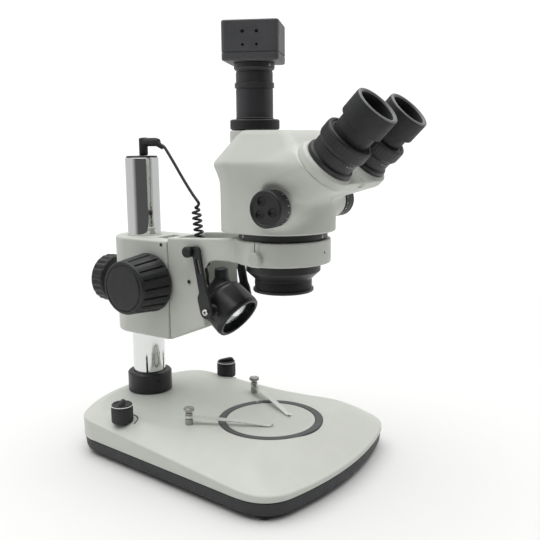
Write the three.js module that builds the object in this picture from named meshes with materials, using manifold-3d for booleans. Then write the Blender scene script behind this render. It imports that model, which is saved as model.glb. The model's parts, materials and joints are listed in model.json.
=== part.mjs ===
// Trinocular stereo microscope on a pillar stand, in millimetres, +Z up.
// Built in the pillar's frame: pillar axis at x = 0, y = 0, the user at -Y, the floor at z = 0.
// The whole group is then moved along Y so that the origin is the middle of the object's footprint.
import * as THREE from "three";
import { mergeVertices } from "three/addons/utils/BufferGeometryUtils.js";
import Module from "manifold-3d";

const wasm = await Module();
wasm.setup();

// ---- Driving dimensions ----
const GAP = 0.3; // clearance between neighbouring solids
const ORIGIN_Y = 111.2; // from the pillar axis to the middle of the footprint

const PAN_Z = [3.7, 16.6]; // underside of the pan, joint between pan and shell
const FOOT = { front: [88, -202], rear: [68, 2], rTop: 7.2, rFloor: 5 };
const SHELL_WALL = 3;
const STAGE = { y: -148.5, z: 40.5, ringR: 47.5, plateR: 40.6 };
const DIMMER = { x: 77.5, y: -38.3, r: 10, z: [43.4, 58.5], grip: 62.3 };
const CLIP = { x: 50.4, y: -94.5, leafZ: 46.6, top: 56.2, tip: [15.4, -161] };

const PILLAR = { r: 16, bore: 14, z: [10, 275.2], collarR: 21.9, collarZ: [42.1, 62.2] };
const HOUSING = { r: 28, z: [107, 200.5], front: -53.2, slotX: 12.3, slotY: -26 };
const PINION = { y: -33, z: 160.5, shaft: 5, pitch: 6, teeth: 12 };
const FOCUS_KNOB = { x: [29.2, 65], rInner: 27.8, rOuter: 24.6 };
const CLAMP = { z: 152.5, y: [39, 55], r: 24 };

const HEAD = { y: -163.2 }; // axis of the ring, the flange and the objective
const RING = { r: 41, bore: 35.8, z: [188, 208.2], screwY: -164.2, screwZ: 195.3 };
const FLANGE = { r: 38.2, neck: 35.4, z: [208.5, 214.6] };
const ZOOM = { y: -185.5, z: 238.3, r: 15, x: [45.6, 60], boss: [15.6, 44.6] };
const PORT = { y: -134.8, r: 21.5 }; // photo port, tube and camera axis
const CAMERA = { side: 48.4, z: [355.2, 387.6], turn: 26.3 };

const TUBE = { x: 29.3, y: -224, z: 274, tilt: 45 }; // where a tube leaves its prism housing
const LEFT_DRAWN = 2; // how far the left eyepiece stands out of its tube beyond the right one
const PRISM = { thick: 7, half: 23.8, corner: 6 };
const LOBE = { depth: 50, narrow: 0.88, rise: 0.54 }; // depth into the head, width there, slope

const YOKE = { y: -83, z: 193.5, x: [29, 31.6] }; // swing axis of the lamp yoke
const LAMP = { y: -101.4, z: 140.6, dip: 37 }; // tilt axis of the lamp, and how far it points down

// ---- Finishes ----
function finish(color, roughness, metalness = 0) {
  return new THREE.MeshStandardMaterial({ color, roughness, metalness });
}
const ENAMEL = () => finish(0xc6cac0, 0.45);
const PAN_GREY = () => finish(0x46464b, 0.6);
const BLACK = () => finish(0x2c2c30, 0.5);
const SOFT_BLACK = () => finish(0x333336, 0.75);
const CHROME = () => finish(0xd8dadd, 0.12, 1);
const STEEL = () => finish(0xb4b6b4, 0.3, 1);
const GREY_PLASTIC = () => finish(0xb9bdb4, 0.5);
const GLASS = () => finish(0xdfe8ea, 0.05);
const FROST = () => finish(0xd3d8cf, 0.35);
const BOARD = () => finish(0x2f6b3c, 0.6);

// ---- Solids ----
// A closed geometry as a manifold solid; only its positions are kept.
function solid(geometry) {
  const bare = geometry.clone();
  bare.deleteAttribute("normal");
  bare.deleteAttribute("uv");
  const merged = mergeVertices(bare, 1e-4);
  return new wasm.Manifold(
    new wasm.Mesh({
      numProp: 3,
      vertProperties: new Float32Array(merged.attributes.position.array),
      triVerts: new Uint32Array(merged.index.array),
    }),
  );
}

function geometryOf(manifold) {
  const made = manifold.getMesh();
  const geometry = new THREE.BufferGeometry();
  geometry.setAttribute("position", new THREE.BufferAttribute(made.vertProperties.slice(), 3));
  geometry.setIndex(new THREE.BufferAttribute(made.triVerts.slice(), 1));
  geometry.computeVertexNormals();
  return geometry;
}

function join(...pieces) {
  return pieces.map(asSolid).reduce((a, b) => a.add(b));
}

function cut(body, ...tools) {
  return tools.map(asSolid).reduce((a, b) => a.subtract(b), asSolid(body));
}

function asSolid(piece) {
  return piece.isBufferGeometry ? solid(piece) : piece;
}

// A profile of [radius, height] points turned about Z, from the foot of the axis round to its top.
function turned(profile, segments = 18) {
  const points = profile.map(([r, z]) => new THREE.Vector2(r, z));
  return new THREE.LatheGeometry(points, segments).rotateX(Math.PI / 2);
}

function rod(r, z0, z1, segments = 16) {
  return turned([[0, z0], [r, z0], [r, z1], [0, z1]], segments);
}

function washer(inner, outer, z0, z1, segments = 18) {
  return turned([[inner, z0], [outer, z0], [outer, z1], [inner, z1], [inner, z0]], segments);
}

const TO_X = new THREE.Matrix4().set(0, 0, 1, 0, 1, 0, 0, 0, 0, 1, 0, 0, 0, 0, 0, 1);

// The same rod lying along X, at (y, z).
function rodX(r, x0, x1, y, z, segments = 12) {
  return rod(r, x0, x1, segments).applyMatrix4(TO_X).translate(0, y, z);
}

function block(x0, x1, y0, y1, z0, z1) {
  const box = new THREE.BoxGeometry(x1 - x0, y1 - y0, z1 - z0);
  return box.translate((x0 + x1) / 2, (y0 + y1) / 2, (z0 + z1) / 2);
}

function outlineOf(points) {
  return new THREE.Shape(points.map(([x, y]) => new THREE.Vector2(x, y)));
}

function plate(shape, z0, z1, curveSegments = 6) {
  const made = new THREE.ExtrudeGeometry(shape, {
    depth: z1 - z0,
    bevelEnabled: false,
    curveSegments,
  });
  return made.translate(0, 0, z0);
}

// A [y, z] outline given thickness along X.
function sidePlate(shape, x0, x1, curveSegments = 6) {
  return plate(shape, x0, x1, curveSegments).applyMatrix4(TO_X);
}

// A strip with round ends between two points.
function capsule([x0, y0], [x1, y1], r) {
  const turn = Math.atan2(y1 - y0, x1 - x0);
  const shape = new THREE.Shape();
  shape.absarc(x1, y1, r, turn - Math.PI / 2, turn + Math.PI / 2, false);
  shape.absarc(x0, y0, r, turn + Math.PI / 2, turn + (3 * Math.PI) / 2, false);
  shape.closePath();
  return shape;
}

function roundedRect(x0, x1, y0, y1, r) {
  const shape = new THREE.Shape();
  shape.absarc(x1 - r, y0 + r, r, -Math.PI / 2, 0, false);
  shape.absarc(x1 - r, y1 - r, r, 0, Math.PI / 2, false);
  shape.absarc(x0 + r, y1 - r, r, Math.PI / 2, Math.PI, false);
  shape.absarc(x0 + r, y0 + r, r, Math.PI, 1.5 * Math.PI, false);
  shape.closePath();
  return shape;
}

// Joins closed rings of points, each with the same count, and caps both ends.
function loft(rings) {
  const count = rings[0].length;
  const positions = [];
  const index = [];
  const middle = (ring) => ring.reduce((a, p) => a.add(p), new THREE.Vector3()).divideScalar(count);
  for (const ring of rings) ring.forEach((p) => positions.push(p.x, p.y, p.z));
  const first = positions.length / 3;
  const ends = [middle(rings[0]), middle(rings[rings.length - 1])];
  ends.forEach((p) => positions.push(p.x, p.y, p.z));
  for (let i = 0; i < count; i++) {
    const j = (i + 1) % count;
    for (let k = 0; k < rings.length - 1; k++) {
      const a = k * count;
      const b = a + count;
      index.push(a + i, a + j, b + j, a + i, b + j, b + i);
    }
    const top = (rings.length - 1) * count;
    index.push(first, j, i, first + 1, top + i, top + j);
  }
  const geometry = new THREE.BufferGeometry();
  geometry.setAttribute("position", new THREE.Float32BufferAttribute(positions, 3));
  geometry.setIndex(index);
  return geometry;
}

// A tube of round section along points, as one extrusion.
function cordTube(points, r, steps, sides = 8) {
  const path = new THREE.CatmullRomCurve3(points.map((p) => new THREE.Vector3(...p)));
  const section = new THREE.Shape();
  section.absarc(0, 0, r, 0, 2 * Math.PI, false);
  return new THREE.ExtrudeGeometry(section, {
    steps,
    extrudePath: path,
    bevelEnabled: false,
    curveSegments: sides,
  });
}

const microscope = new THREE.Group();
microscope.position.set(0, ORIGIN_Y, 0);

function add(name, piece, material, place = [0, 0, 0], parent = microscope) {
  const geometry = piece.isBufferGeometry ? piece : geometryOf(piece);
  const mesh = new THREE.Mesh(geometry, material);
  mesh.name = name;
  mesh.position.set(...place);
  parent.add(mesh);
  return mesh;
}

const SIDES = [["left", -1], ["right", 1]];

// ---- Base ----
const CORNER_STEPS = 6;

// The plan of the base: a bowed back, splayed sides and a bowed front.
function basePlan() {
  const plan = new THREE.Shape();
  plan.moveTo(66, 22);
  plan.quadraticCurveTo(0, 58, -66, 22);
  plan.quadraticCurveTo(-86, 12, -86.2, -10);
  plan.lineTo(-102, -180);
  plan.quadraticCurveTo(-105.5, -215, -76, -222.5);
  plan.quadraticCurveTo(0, -242.5, 76, -222.5);
  plan.quadraticCurveTo(105.5, -215, 102, -180);
  plan.lineTo(86.2, -10);
  plan.quadraticCurveTo(86, 12, 66, 22);
  const points = plan.getPoints(CORNER_STEPS);
  points.pop();
  return points;
}

const PLAN = basePlan();
const PLAN_MIDDLE = new THREE.Vector2(0, -96);

// The plan drawn in by a distance along its own normals.
function planInset(distance) {
  const n = PLAN.length;
  return PLAN.map((p, i) => {
    const along = PLAN[(i + 1) % n].clone().sub(PLAN[(i + n - 1) % n]).normalize();
    return new THREE.Vector2(p.x - along.y * distance, p.y + along.x * distance);
  });
}

// Height of the crisp edge round the shell, lower towards the user.
function rimHeight(y) {
  return 36.5 + 0.061 * Math.min(y, 0);
}

// Height of the shell's middle, level round the stage and a little higher at the back.
function middleHeight(y) {
  return 40.4 + 1.4 * THREE.MathUtils.smoothstep(y, -110, -30);
}

// How far in from its edge the shell goes on rising.
function slopeReach(y) {
  return 14 + 0.11 * Math.max(-y, 0);
}

// One ring of the shell's slope: the rim drawn towards the middle of the plan by a share.
function slopeRing(rim, share, drop) {
  return rim.map((p) => {
    const q = p.clone().lerp(PLAN_MIDDLE, 1 - share);
    const reached = Math.min(p.distanceTo(q) / slopeReach(p.y), 1);
    const rise = 1 - (1 - reached) ** 1.35;
    const z = THREE.MathUtils.lerp(rimHeight(p.y), middleHeight(q.y), rise);
    return new THREE.Vector3(q.x, q.y, z - drop);
  });
}

function shellSolid(inset, foot, drop) {
  const wall = (extra, heightAt) =>
    planInset(inset + extra).map((p) => new THREE.Vector3(p.x, p.y, heightAt(p.y)));
  const rim = planInset(inset + 2.2);
  return loft([
    wall(0, () => foot),
    wall(0, (y) => rimHeight(y) - 2.2 - drop),
    wall(0.7, (y) => rimHeight(y) - 0.9 - drop),
    ...[1, 0.93, 0.86, 0.76, 0.64, 0.4].map((share) => slopeRing(rim, share, drop)),
  ]);
}

function makeBase() {
  const shell = cut(
    shellSolid(0, PAN_Z[1] + GAP, 0),
    shellSolid(SHELL_WALL, PAN_Z[1] - 1, SHELL_WALL),
    rod(STAGE.ringR + GAP, 20, 60, 40).translate(0, STAGE.y, 0),
    rod(PILLAR.r + GAP, 0, 60, 36),
    block(-8.3, 8.3, 30, 45, 18, 30.3),
    ...SIDES.map(([, s]) => rod(5.3, 20, 60, 16).translate(s * DIMMER.x, DIMMER.y, 0)),
    ...SIDES.map(([, s]) => rod(2.7, 20, 60, 12).translate(s * CLIP.x, CLIP.y, 0)),
  );
  add("base_shell", shell, ENAMEL());

  const level = (z) => (p) => new THREE.Vector3(p.x, p.y, z);
  const tray = loft([
    planInset(4).map(level(PAN_Z[0])),
    planInset(2).map(level(PAN_Z[0] + 1.4)),
    planInset(1).map(level(PAN_Z[1])),
  ]);
  const hollow = loft([
    planInset(6).map(level(PAN_Z[0] + SHELL_WALL)),
    planInset(4).map(level(PAN_Z[1] + 1)),
  ]);
  const socket = rod(21, PAN_Z[0] + 1, 30, 24);
  const pan = cut(join(cut(tray, hollow), socket), rod(PILLAR.r + GAP, PILLAR.z[0] - GAP, 40, 32));
  add("base_pan", pan, PAN_GREY());

  const { front, rear, rTop, rFloor } = FOOT;
  const footTop = PAN_Z[0] - GAP;
  const foot = turned([[0, 0], [rFloor - 0.6, 0], [rFloor, 0.6], [rTop, footTop], [0, footTop]], 14);
  for (const [side, s] of SIDES) {
    add("foot_front_" + side, foot, SOFT_BLACK(), [s * front[0], front[1], 0]);
    add("foot_rear_" + side, foot, SOFT_BLACK(), [s * rear[0], rear[1], 0]);
  }
  const jack = rod(3.2, 30, 45).rotateX(-Math.PI / 2).translate(0, 0, 24.2);
  const inlet = cut(block(-8, 8, 26, 40.5, 18.3, 30), jack);
  add("power_inlet", inlet, BLACK());
}

// ---- Stage, its light and its clips ----
function makeStage() {
  const { ringR, plateR, y, z } = STAGE;
  const ledge = z - 3.2;
  add("stage_trim_ring", turned([
    [36, 30], [ringR, 30], [ringR, z], [plateR + GAP, z], [plateR + GAP, ledge], [36, ledge], [36, 30],
  ], 36), PAN_GREY(), [0, y, 0]);
  add("stage_plate", rod(plateR, ledge + GAP, z - 0.1, 36), FROST(), [0, y, 0]);
  add("light_board", join(rod(33, 22, 23.6, 24), rod(20, 23, 26, 16)), BOARD(), [0, y, 0]);
  add("supply_board", join(
    block(-34, 34, -84, -36, 9, 10.6),
    block(-28, -8, -78, -60, 10, 22),
    block(4, 26, -70, -48, 10, 19),
  ), BOARD());

  for (const [side, s] of SIDES) {
    const [tipX, tipY] = CLIP.tip;
    add("clip_post_" + side, turned([
      [0, 34], [2.3, 34], [2.3, 41.4], [3.5, 41.4], [3.5, 45.6], [1.9, 45.6],
      [1.9, 52.8], [4.8, 53.2], [4.8, 55.6], [4, CLIP.top], [0, CLIP.top],
    ], 10), STEEL(), [s * CLIP.x, CLIP.y, 0]);

    const reach = Math.hypot(CLIP.x - tipX, tipY - CLIP.y);
    const bend = outlineOf([
      [-3.4, CLIP.leafZ], [3.4, CLIP.leafZ], [reach - 3, 41.3], [reach, 42.8],
      [reach, 43.5], [reach - 3, 42.1], [3.6, CLIP.leafZ + 0.8], [-3.4, CLIP.leafZ + 0.8],
    ]);
    const strip = plate(bend, -2.6, 2.6).rotateX(Math.PI / 2);
    const collar = rod(3.9, CLIP.leafZ - 0.6, CLIP.leafZ + 2.6, 16);
    const leaf = cut(join(strip, collar), rod(2.25, 40, 60, 12));
    const mesh = add("clip_leaf_" + side, leaf, STEEL(), [s * CLIP.x, CLIP.y, 0]);
    mesh.rotation.z = Math.atan2(tipY - CLIP.y, s * (tipX - CLIP.x));
  }
}

function makeDimmers() {
  const [z0, z1] = DIMMER.z;
  for (const [side, s] of SIDES) {
    const place = [s * DIMMER.x, DIMMER.y, 0];
    const pot = join(washer(3.4, 7, 21, 30, 16), washer(3.4, 4.9, 29, 42.4, 16));
    add("dimmer_pot_" + side, pot, STEEL(), place);
    const skirt = turned([[0, z0], [9.8, z0], [10, z0 + 0.6], [9.5, z1 - 0.8], [8.7, z1], [0, z1]], 18);
    const grip = sidePlate(capsule([-7, z1 - 2], [7, z1], 2.6), -1.6, 1.6, 5);
    const knob = join(skirt, grip, rod(3, 22, z1 - 1, 12));
    const mesh = add("dimmer_knob_" + side, knob, BLACK(), place);
    mesh.rotation.z = (-s * Math.PI) / 5;
  }
}

// ---- Pillar ----
function makePillar() {
  const [z0, z1] = PILLAR.z;
  add("pillar_tube", washer(PILLAR.bore, PILLAR.r, z0, z1, 36), CHROME());
  const [c0, c1] = PILLAR.collarZ;
  const { collarR } = PILLAR;
  add("pillar_collar", turned([
    [PILLAR.r + GAP, c0], [collarR, c0], [collarR, c1 - 1.4], [collarR - 1.4, c1],
    [PILLAR.r + GAP, c1], [PILLAR.r + GAP, c0],
  ], 20), BLACK());
  add("pillar_socket", turned([
    [3, z1 - 9], [PILLAR.bore - GAP, z1 - 9], [PILLAR.bore - GAP, z1 + GAP], [15.4, z1 + GAP],
    [15, z1 + 1.6], [3, z1 + 1.6], [3, z1 - 9],
  ], 18), BLACK());
}

// ---- Focus block ----
function makeFocusBlock() {
  const [z0, z1] = HOUSING.z;
  const { r, front, slotX, slotY } = HOUSING;
  const plan = new THREE.Shape();
  plan.absarc(0, 0, r, 0, Math.PI, false);
  plan.lineTo(-r, front);
  plan.lineTo(r, front);
  plan.closePath();
  const housing = cut(
    plate(plan, z0, z1, 20),
    rod(PILLAR.r + GAP, z0 - 1, z1 + 1, 36),
    block(-slotX, slotX, front - 1, slotY, z0 - 1, z1 + 1),
    rodX(PINION.shaft + GAP, -r - 1, r + 1, PINION.y, PINION.z),
    rod(4.6, 10, 35, 16).rotateX(-Math.PI / 2).translate(0, 0, CLAMP.z),
  );
  add("focus_housing", housing, ENAMEL());

  const [y0, y1] = CLAMP.y;
  const knob = knobShape(CLAMP.r, CLAMP.r - 1.4, y1 - y0, 12);
  const screw = join(knob, rod(7, -y0 + 28.6, 1, 16), rod(4.2, -y0 + 16.6, 1, 12));
  const clamp = add("clamp_knob", screw, BLACK(), [0, y0, CLAMP.z]);
  clamp.rotation.x = -Math.PI / 2;

  add("focus_pinion", join(
    rodX(PINION.shaft, -34, 34, 0, 0),
    sidePlate(gearOutline(), -5, 5),
  ), STEEL(), [0, PINION.y, PINION.z]);

  const [x0, x1] = FOCUS_KNOB.x;
  for (const [side, s] of SIDES) {
    const body = cut(
      knobShape(FOCUS_KNOB.rInner, FOCUS_KNOB.rOuter, x1 - x0, 14),
      rod(PINION.shaft + GAP, -1, 34 - x0 + GAP, 16),
    );
    const mesh = add("focus_knob_" + side, body, BLACK(), [s * x0, PINION.y, PINION.z]);
    mesh.rotation.y = (s * Math.PI) / 2;
  }
}

// A knob standing on z = 0 that tapers from one radius to another, with broad flutes.
function knobShape(r0, r1, length, flutes) {
  const ring = (r, z, depth) => {
    const points = [];
    for (let i = 0; i < flutes * 2; i++) {
      const angle = (i / flutes) * Math.PI;
      const reach = r - (i % 2 ? depth : 0);
      points.push(new THREE.Vector3(reach * Math.cos(angle), reach * Math.sin(angle), z));
    }
    return points;
  };
  return loft([
    ring(r0 - 1, 0, 0),
    ring(r0, 1, 0.4),
    ring(r1, length - 1.4, 0.8),
    ring(r1 - 1.5, length, 0),
  ]);
}

// The pinion's outline in [y, z], with a tooth pointing at the rack.
function gearOutline() {
  const { teeth, pitch } = PINION;
  const points = [];
  for (let i = 0; i < teeth; i++) {
    const middle = Math.PI + (i / teeth) * 2 * Math.PI;
    for (const [r, half] of [[pitch - 1.2, 0.17], [pitch + 0.7, 0.06]]) {
      for (const turn of r < pitch ? [-half] : [-half, half]) points.push([r, middle + turn]);
    }
    points.push([pitch - 1.2, middle + 0.17]);
  }
  return outlineOf(points.map(([r, a]) => [r * Math.cos(a), r * Math.sin(a)]));
}

// ---- Arm: slide plate, cheeks and ring in one casting ----
const ARM = { plate: [-60, -53.6], x: 27, top: 203.5, bottom: 107, rackZ: [136.5, 184.5] };

function makeArm() {
  const { plate: [back, near], x, top, bottom } = ARM;
  const [r0, r1] = RING.z;
  const web = -137;
  const beam = outlineOf([
    [near, bottom], [near, top], [web, r1], [web, r0], [-106, 187], [-99, 184], [-93, 170], [-96, 126],
  ]);
  const window = outlineOf([
    [back, bottom - 5], [back, top + 9], [web, r1 + 9], [web, bottom - 5],
  ]);
  const thin = outlineOf([[back, bottom - 5], [back, 185], [-140, 185], [-140, bottom - 5]]);
  const flare = outlineOf([
    [-x, -130], [-x, -136], [-41, -158], [-41, -166], [0, -166], [41, -166], [41, -158],
    [x, -136], [x, -130], [20, -124], [-20, -124],
  ]);
  const [rack0, rack1] = ARM.rackZ;
  let arm = join(
    cut(sidePlate(beam, -x, x), sidePlate(window, -22, 22), sidePlate(thin, -24.3, 24.3)),
    plate(flare, r0, r1),
    rod(RING.r, r0, r1, 48).translate(0, HEAD.y, 0),
    block(-11.9, 11.9, near - 1, -45.3, rack0 - 5, rack1 + 5),
  );
  arm = cut(
    arm,
    rod(RING.bore, r0 - 1, r1 + 1, 48).translate(0, HEAD.y, 0),
    block(-50, -30, -162.9, -161.9, RING.screwZ, r1 + 1),
    rodX(2.3, -50, -30, RING.screwY, RING.screwZ, 12),
    ...SIDES.map(([, s]) => rodX(2.5, s > 0 ? 20 : -30, s > 0 ? 30 : -20, YOKE.y, YOKE.z, 12)),
  );
  add("arm_bracket", arm, ENAMEL());

  const pitch = (2 * Math.PI * PINION.pitch) / PINION.teeth;
  const tip = PINION.y - PINION.pitch + 0.6;
  const root = PINION.y - PINION.pitch - 1;
  const points = [[-45, rack0], [root, rack0]];
  for (let k = -8; k < 8; k++) {
    const z = PINION.z + (k + 0.5) * pitch;
    if (z - 1.2 < rack0 || z + 1.2 > rack1) continue;
    points.push([root, z - 0.85], [tip, z - 0.4], [tip, z + 0.4], [root, z + 0.85]);
  }
  points.push([root, rack1], [-45, rack1]);
  add("focus_rack", sidePlate(outlineOf(points), -4, 4), STEEL());

  const screw = join(rod(2, -5.9, 1, 10), rod(5.6, 0, 5, 16));
  const thumb = add("ring_screw", screw, GREY_PLASTIC(), [-41.6, RING.screwY, RING.screwZ]);
  thumb.rotation.y = -Math.PI / 2;
}

// ---- Lamp on its yoke ----
function makeLamp() {
  const [leg0, leg1] = YOKE.x;
  const knee = [YOKE.y - 8, YOKE.z + 0.5];
  const pivot = [YOKE.y, YOKE.z];
  const tilt = [LAMP.y, LAMP.z];
  for (const [side, s] of SIDES) {
    const [x0, x1] = s > 0 ? [leg0, leg1] : [-leg1, -leg0];
    const leg = cut(
      join(
        sidePlate(capsule(pivot, knee, 4.8), x0, x1),
        sidePlate(capsule(knee, tilt, 4.5), x0, x1),
      ),
      rodX(2.5, x0 - 1, x1 + 1, ...pivot, 12),
      rodX(2.1, x0 - 1, x1 + 1, ...tilt, 12),
    );
    add("lamp_leg_" + side, leg, BLACK());

    const pin = join(rod(2.1, leg0 - 6, leg1 + 1, 12), rod(5.1, leg1 + GAP, leg1 + 4.6, 18));
    const pinMesh = add("lamp_yoke_screw_" + side, pin, BLACK(), [0, ...pivot]);
    pinMesh.rotation.y = (s * Math.PI) / 2;
  }

  // The lamp's own frame has its pivot at the origin and its beam along +Z.
  const turn = Math.PI / 2 + THREE.MathUtils.degToRad(LAMP.dip);
  const lamp = new THREE.Group();
  lamp.position.set(0, ...tilt);
  lamp.rotation.x = turn;
  microscope.add(lamp);
  const casing = turned([
    [0, -24], [8.6, -24], [11, -21], [17, -13], [21.4, -9.6], [22.4, -7],
    [23.3, 14.5], [22.3, 17], [0, 17],
  ], 18);
  const hollow = turned([[0, -4], [17, -4], [17.2, 7.4], [19.2, 7.4], [19.2, 18], [0, 18]], 18);
  const neck = turned([[0, 14], [11, 14], [6.4, 24], [6.2, 34], [0, 34]], 12)
    .translate(0, 6.4, 0).rotateX(-turn);
  const along = (s, x0, x1) => (s > 0 ? [x0, x1] : [-x1, -x0]);
  const body = cut(
    join(
      casing,
      neck,
      ...SIDES.map(([, s]) => rodX(5, ...along(s, 20, leg0 - GAP), 0, 0)),
      ...SIDES.map(([, s]) => rodX(1.8, ...along(s, 25, leg1 + 1.6), 0, 0, 12)),
    ),
    hollow,
  );
  add("lamp_body", body, BLACK(), [0, 0, 0], lamp);
  add("lamp_lens", turned([
    [0, 7.7], [18.7, 7.7], [18.7, 9.6], [12, 11.4], [0, 12.4],
  ], 18), GLASS(), [0, 0, 0], lamp);
}

// ---- Head ----
// Plans of the head casting: height, half width, back, front, rear and front corner radius.
const HEAD_PLANS = [
  [215, 45, -118.2, -208.2, 25, 44.9],
  [244, 45, -118.2, -208.2, 25, 44.9],
  [258, 46, -118, -214, 25, 38],
  [266, 49, -117.4, -222, 23, 28],
  [272, 50, -117, -240, 22, 22],
  [280, 44.5, -123, -244, 19, 19],
  [299, 33, -138, -246, 14, 14],
];

function headRing([z, half, back, front, rBack, rFront]) {
  const centres = [
    [half - rBack, back - rBack, rBack],
    [rBack - half, back - rBack, rBack],
    [rFront - half, front + rFront, rFront],
    [half - rFront, front + rFront, rFront],
  ];
  const ring = [];
  centres.forEach(([x, y, r], corner) => {
    for (let i = 0; i <= CORNER_STEPS; i++) {
      const angle = ((corner + i / CORNER_STEPS) * Math.PI) / 2;
      ring.push(new THREE.Vector3(x + r * Math.cos(angle), y + r * Math.sin(angle), z));
    }
  });
  return ring;
}

// The lobe that carries a prism housing down and back into the head, narrower as it goes.
function lobe(s) {
  const { depth, narrow, rise } = LOBE;
  const outline = prismOutline(s).getPoints(CORNER_STEPS);
  if (outline[0].equals(outline[outline.length - 1])) outline.pop();
  const ring = (z, share) => {
    const lift = rise * (-PRISM.thick - z);
    return outline.map((p) => new THREE.Vector3((p.x + s * TUBE.x) * share, p.y + lift, z));
  };
  return loft([ring(-depth, narrow), ring(-PRISM.thick + 5, 1)])
    .rotateX(THREE.MathUtils.degToRad(TUBE.tilt))
    .translate(0, TUBE.y, TUBE.z);
}

// Moves a geometry from a tube's own frame, axis along +Z, to its place on the head.
function atTube(geometry, x) {
  return geometry.rotateX(THREE.MathUtils.degToRad(TUBE.tilt)).translate(x, TUBE.y, TUBE.z);
}

// The hollow in the head's side that a zoom knob sits in.
function zoomPocket(s) {
  const inner = ZOOM.x[0] - 1;
  const reach = s > 0 ? [inner, 70] : [-70, -inner];
  return rodX(ZOOM.r + 1.2, ...reach, ZOOM.y, ZOOM.z, 24);
}

function makeHead() {
  const port = rod(PORT.r, 262, 299, 32).translate(0, PORT.y, 0);
  const [bossR, bossX] = ZOOM.boss;
  const boss = rodX(bossR, -bossX, bossX, ZOOM.y, ZOOM.z, 24);
  const head = cut(
    join(loft(HEAD_PLANS.map(headRing)), port, boss, lobe(-1), lobe(1)),
    atTube(block(-90, 90, -60, 90, -PRISM.thick, 80), 0),
    block(-36, 36, -196, -126, 219, 270),
    block(-25, 25, -184, -142, 268, 293),
    rod(28, 210, 222, 32).translate(0, HEAD.y, 0),
    rod(12, 260, 300, 20).translate(0, PORT.y, 0),
    ...SIDES.map(([, s]) => atTube(rod(12, -34, 0, 20), s * TUBE.x)),
    rodX(4.3, -60, 60, ZOOM.y, ZOOM.z, 12),
    ...SIDES.map(([, s]) => zoomPocket(s)),
  );
  add("head_body", head, ENAMEL());

  const [f0, f1] = FLANGE.z;
  add("mount_flange", turned([
    [30, 188.6], [FLANGE.neck, 188.6], [FLANGE.neck, f0],
    [FLANGE.r, f0], [FLANGE.r, f1], [30, f1], [30, 188.6],
  ], 24), BLACK(), [0, HEAD.y, 0]);

  add("objective_barrel", turned([
    [21.2, 162.3], [26.2, 162.3], [26.2, 165.2], [24.4, 165.6], [24.4, 172.6], [31.4, 179.4], [32.3, 180.4],
    [32.3, 187.6], [29.7, 187.6], [29.7, 210], [26, 210], [26, 182], [19, 172], [19, 169],
    [21.2, 169], [21.2, 162.3],
  ], 20), BLACK(), [0, HEAD.y, 0]);
  add("objective_lens", turned([
    [0, 164.6], [12, 165], [20.9, 166.4], [20.9, 168.7], [0, 168.7],
  ], 18), GLASS(), [0, HEAD.y, 0]);

  const [z0, z1] = ZOOM.x;
  add("zoom_shaft", join(rodX(4, -z1 + 3, z1 - 3, 0, 0), rodX(9, -22, 22, 0, 0, 20)),
    STEEL(), [0, ZOOM.y, ZOOM.z]);
  for (const [side, s] of SIDES) {
    const body = cut(
      turned([[0, 0], [ZOOM.r, 0], [ZOOM.r, z1 - z0 - 1.2], [ZOOM.r - 1.2, z1 - z0], [0, z1 - z0]], 18),
      rod(4.3, -1, z1 - z0 - 3 + GAP, 16),
    );
    const mesh = add("zoom_knob_" + side, body, BLACK(), [s * z0, ZOOM.y, ZOOM.z]);
    mesh.rotation.y = (s * Math.PI) / 2;
  }
}

// The outline of a prism housing seen along its tube: round outside, straight at the middle plane.
function prismOutline(s) {
  const { half, corner } = PRISM;
  const inner = TUBE.x - GAP;
  const shape = new THREE.Shape();
  shape.absarc(0, 0, half, Math.PI / 2, 1.5 * Math.PI, false);
  shape.absarc(inner - corner, corner - half, corner, -Math.PI / 2, 0, false);
  shape.absarc(inner - corner, half - corner, corner, 0, Math.PI / 2, false);
  shape.closePath();
  if (s < 0) return shape;
  return outlineOf(shape.getPoints(CORNER_STEPS).map((p) => [-p.x, p.y]).reverse());
}

function makeEyepieces() {
  for (const [side, s] of SIDES) {
    const tube = new THREE.Group();
    tube.position.set(s * TUBE.x, TUBE.y, TUBE.z);
    tube.rotation.x = THREE.MathUtils.degToRad(TUBE.tilt);
    microscope.add(tube);

    const drawn = s < 0 ? LEFT_DRAWN : 0;
    const housing = cut(plate(prismOutline(s), -PRISM.thick + GAP, 0), rod(13, -20, 5, 20));
    add("prism_housing_" + side, housing, ENAMEL(), [0, 0, 0], tube);
    add("eyepiece_tube_" + side, turned([
      [15.3, GAP], [20.4, GAP], [20.4, 4.6], [18.5, 5.4], [18.5, 14.6], [17, 14.6], [17, 27.4],
      [15.3, 27.4], [15.3, GAP],
    ], 18), BLACK(), [0, 0, 0], tube);
    add("diopter_ring_" + side, turned([
      [17.3, 15], [19.8, 15], [20.9, 17.5], [20.9, 27], [20.3, 27.7], [17.3, 27.7], [17.3, 15],
    ], 18), BLACK(), [0, 0, 0], tube);
    add("eyepiece_" + side, turned([
      [12.6, 6], [15, 6], [15, 28], [15.6, 28], [15.6, 37.4], [18.6, 38.2], [18.6, 56.2],
      [17.8, 57], [15.6, 57], [14.7, 55], [14.7, 47], [12.6, 45], [12.6, 6],
    ], 18), BLACK(), [0, 0, drawn], tube);
    add("eye_lens_" + side, turned([
      [0, 38], [12.3, 38], [12.3, 40.6], [7, 42], [0, 42.6],
    ], 14), GLASS(), [0, 0, drawn], tube);
  }
}

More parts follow.
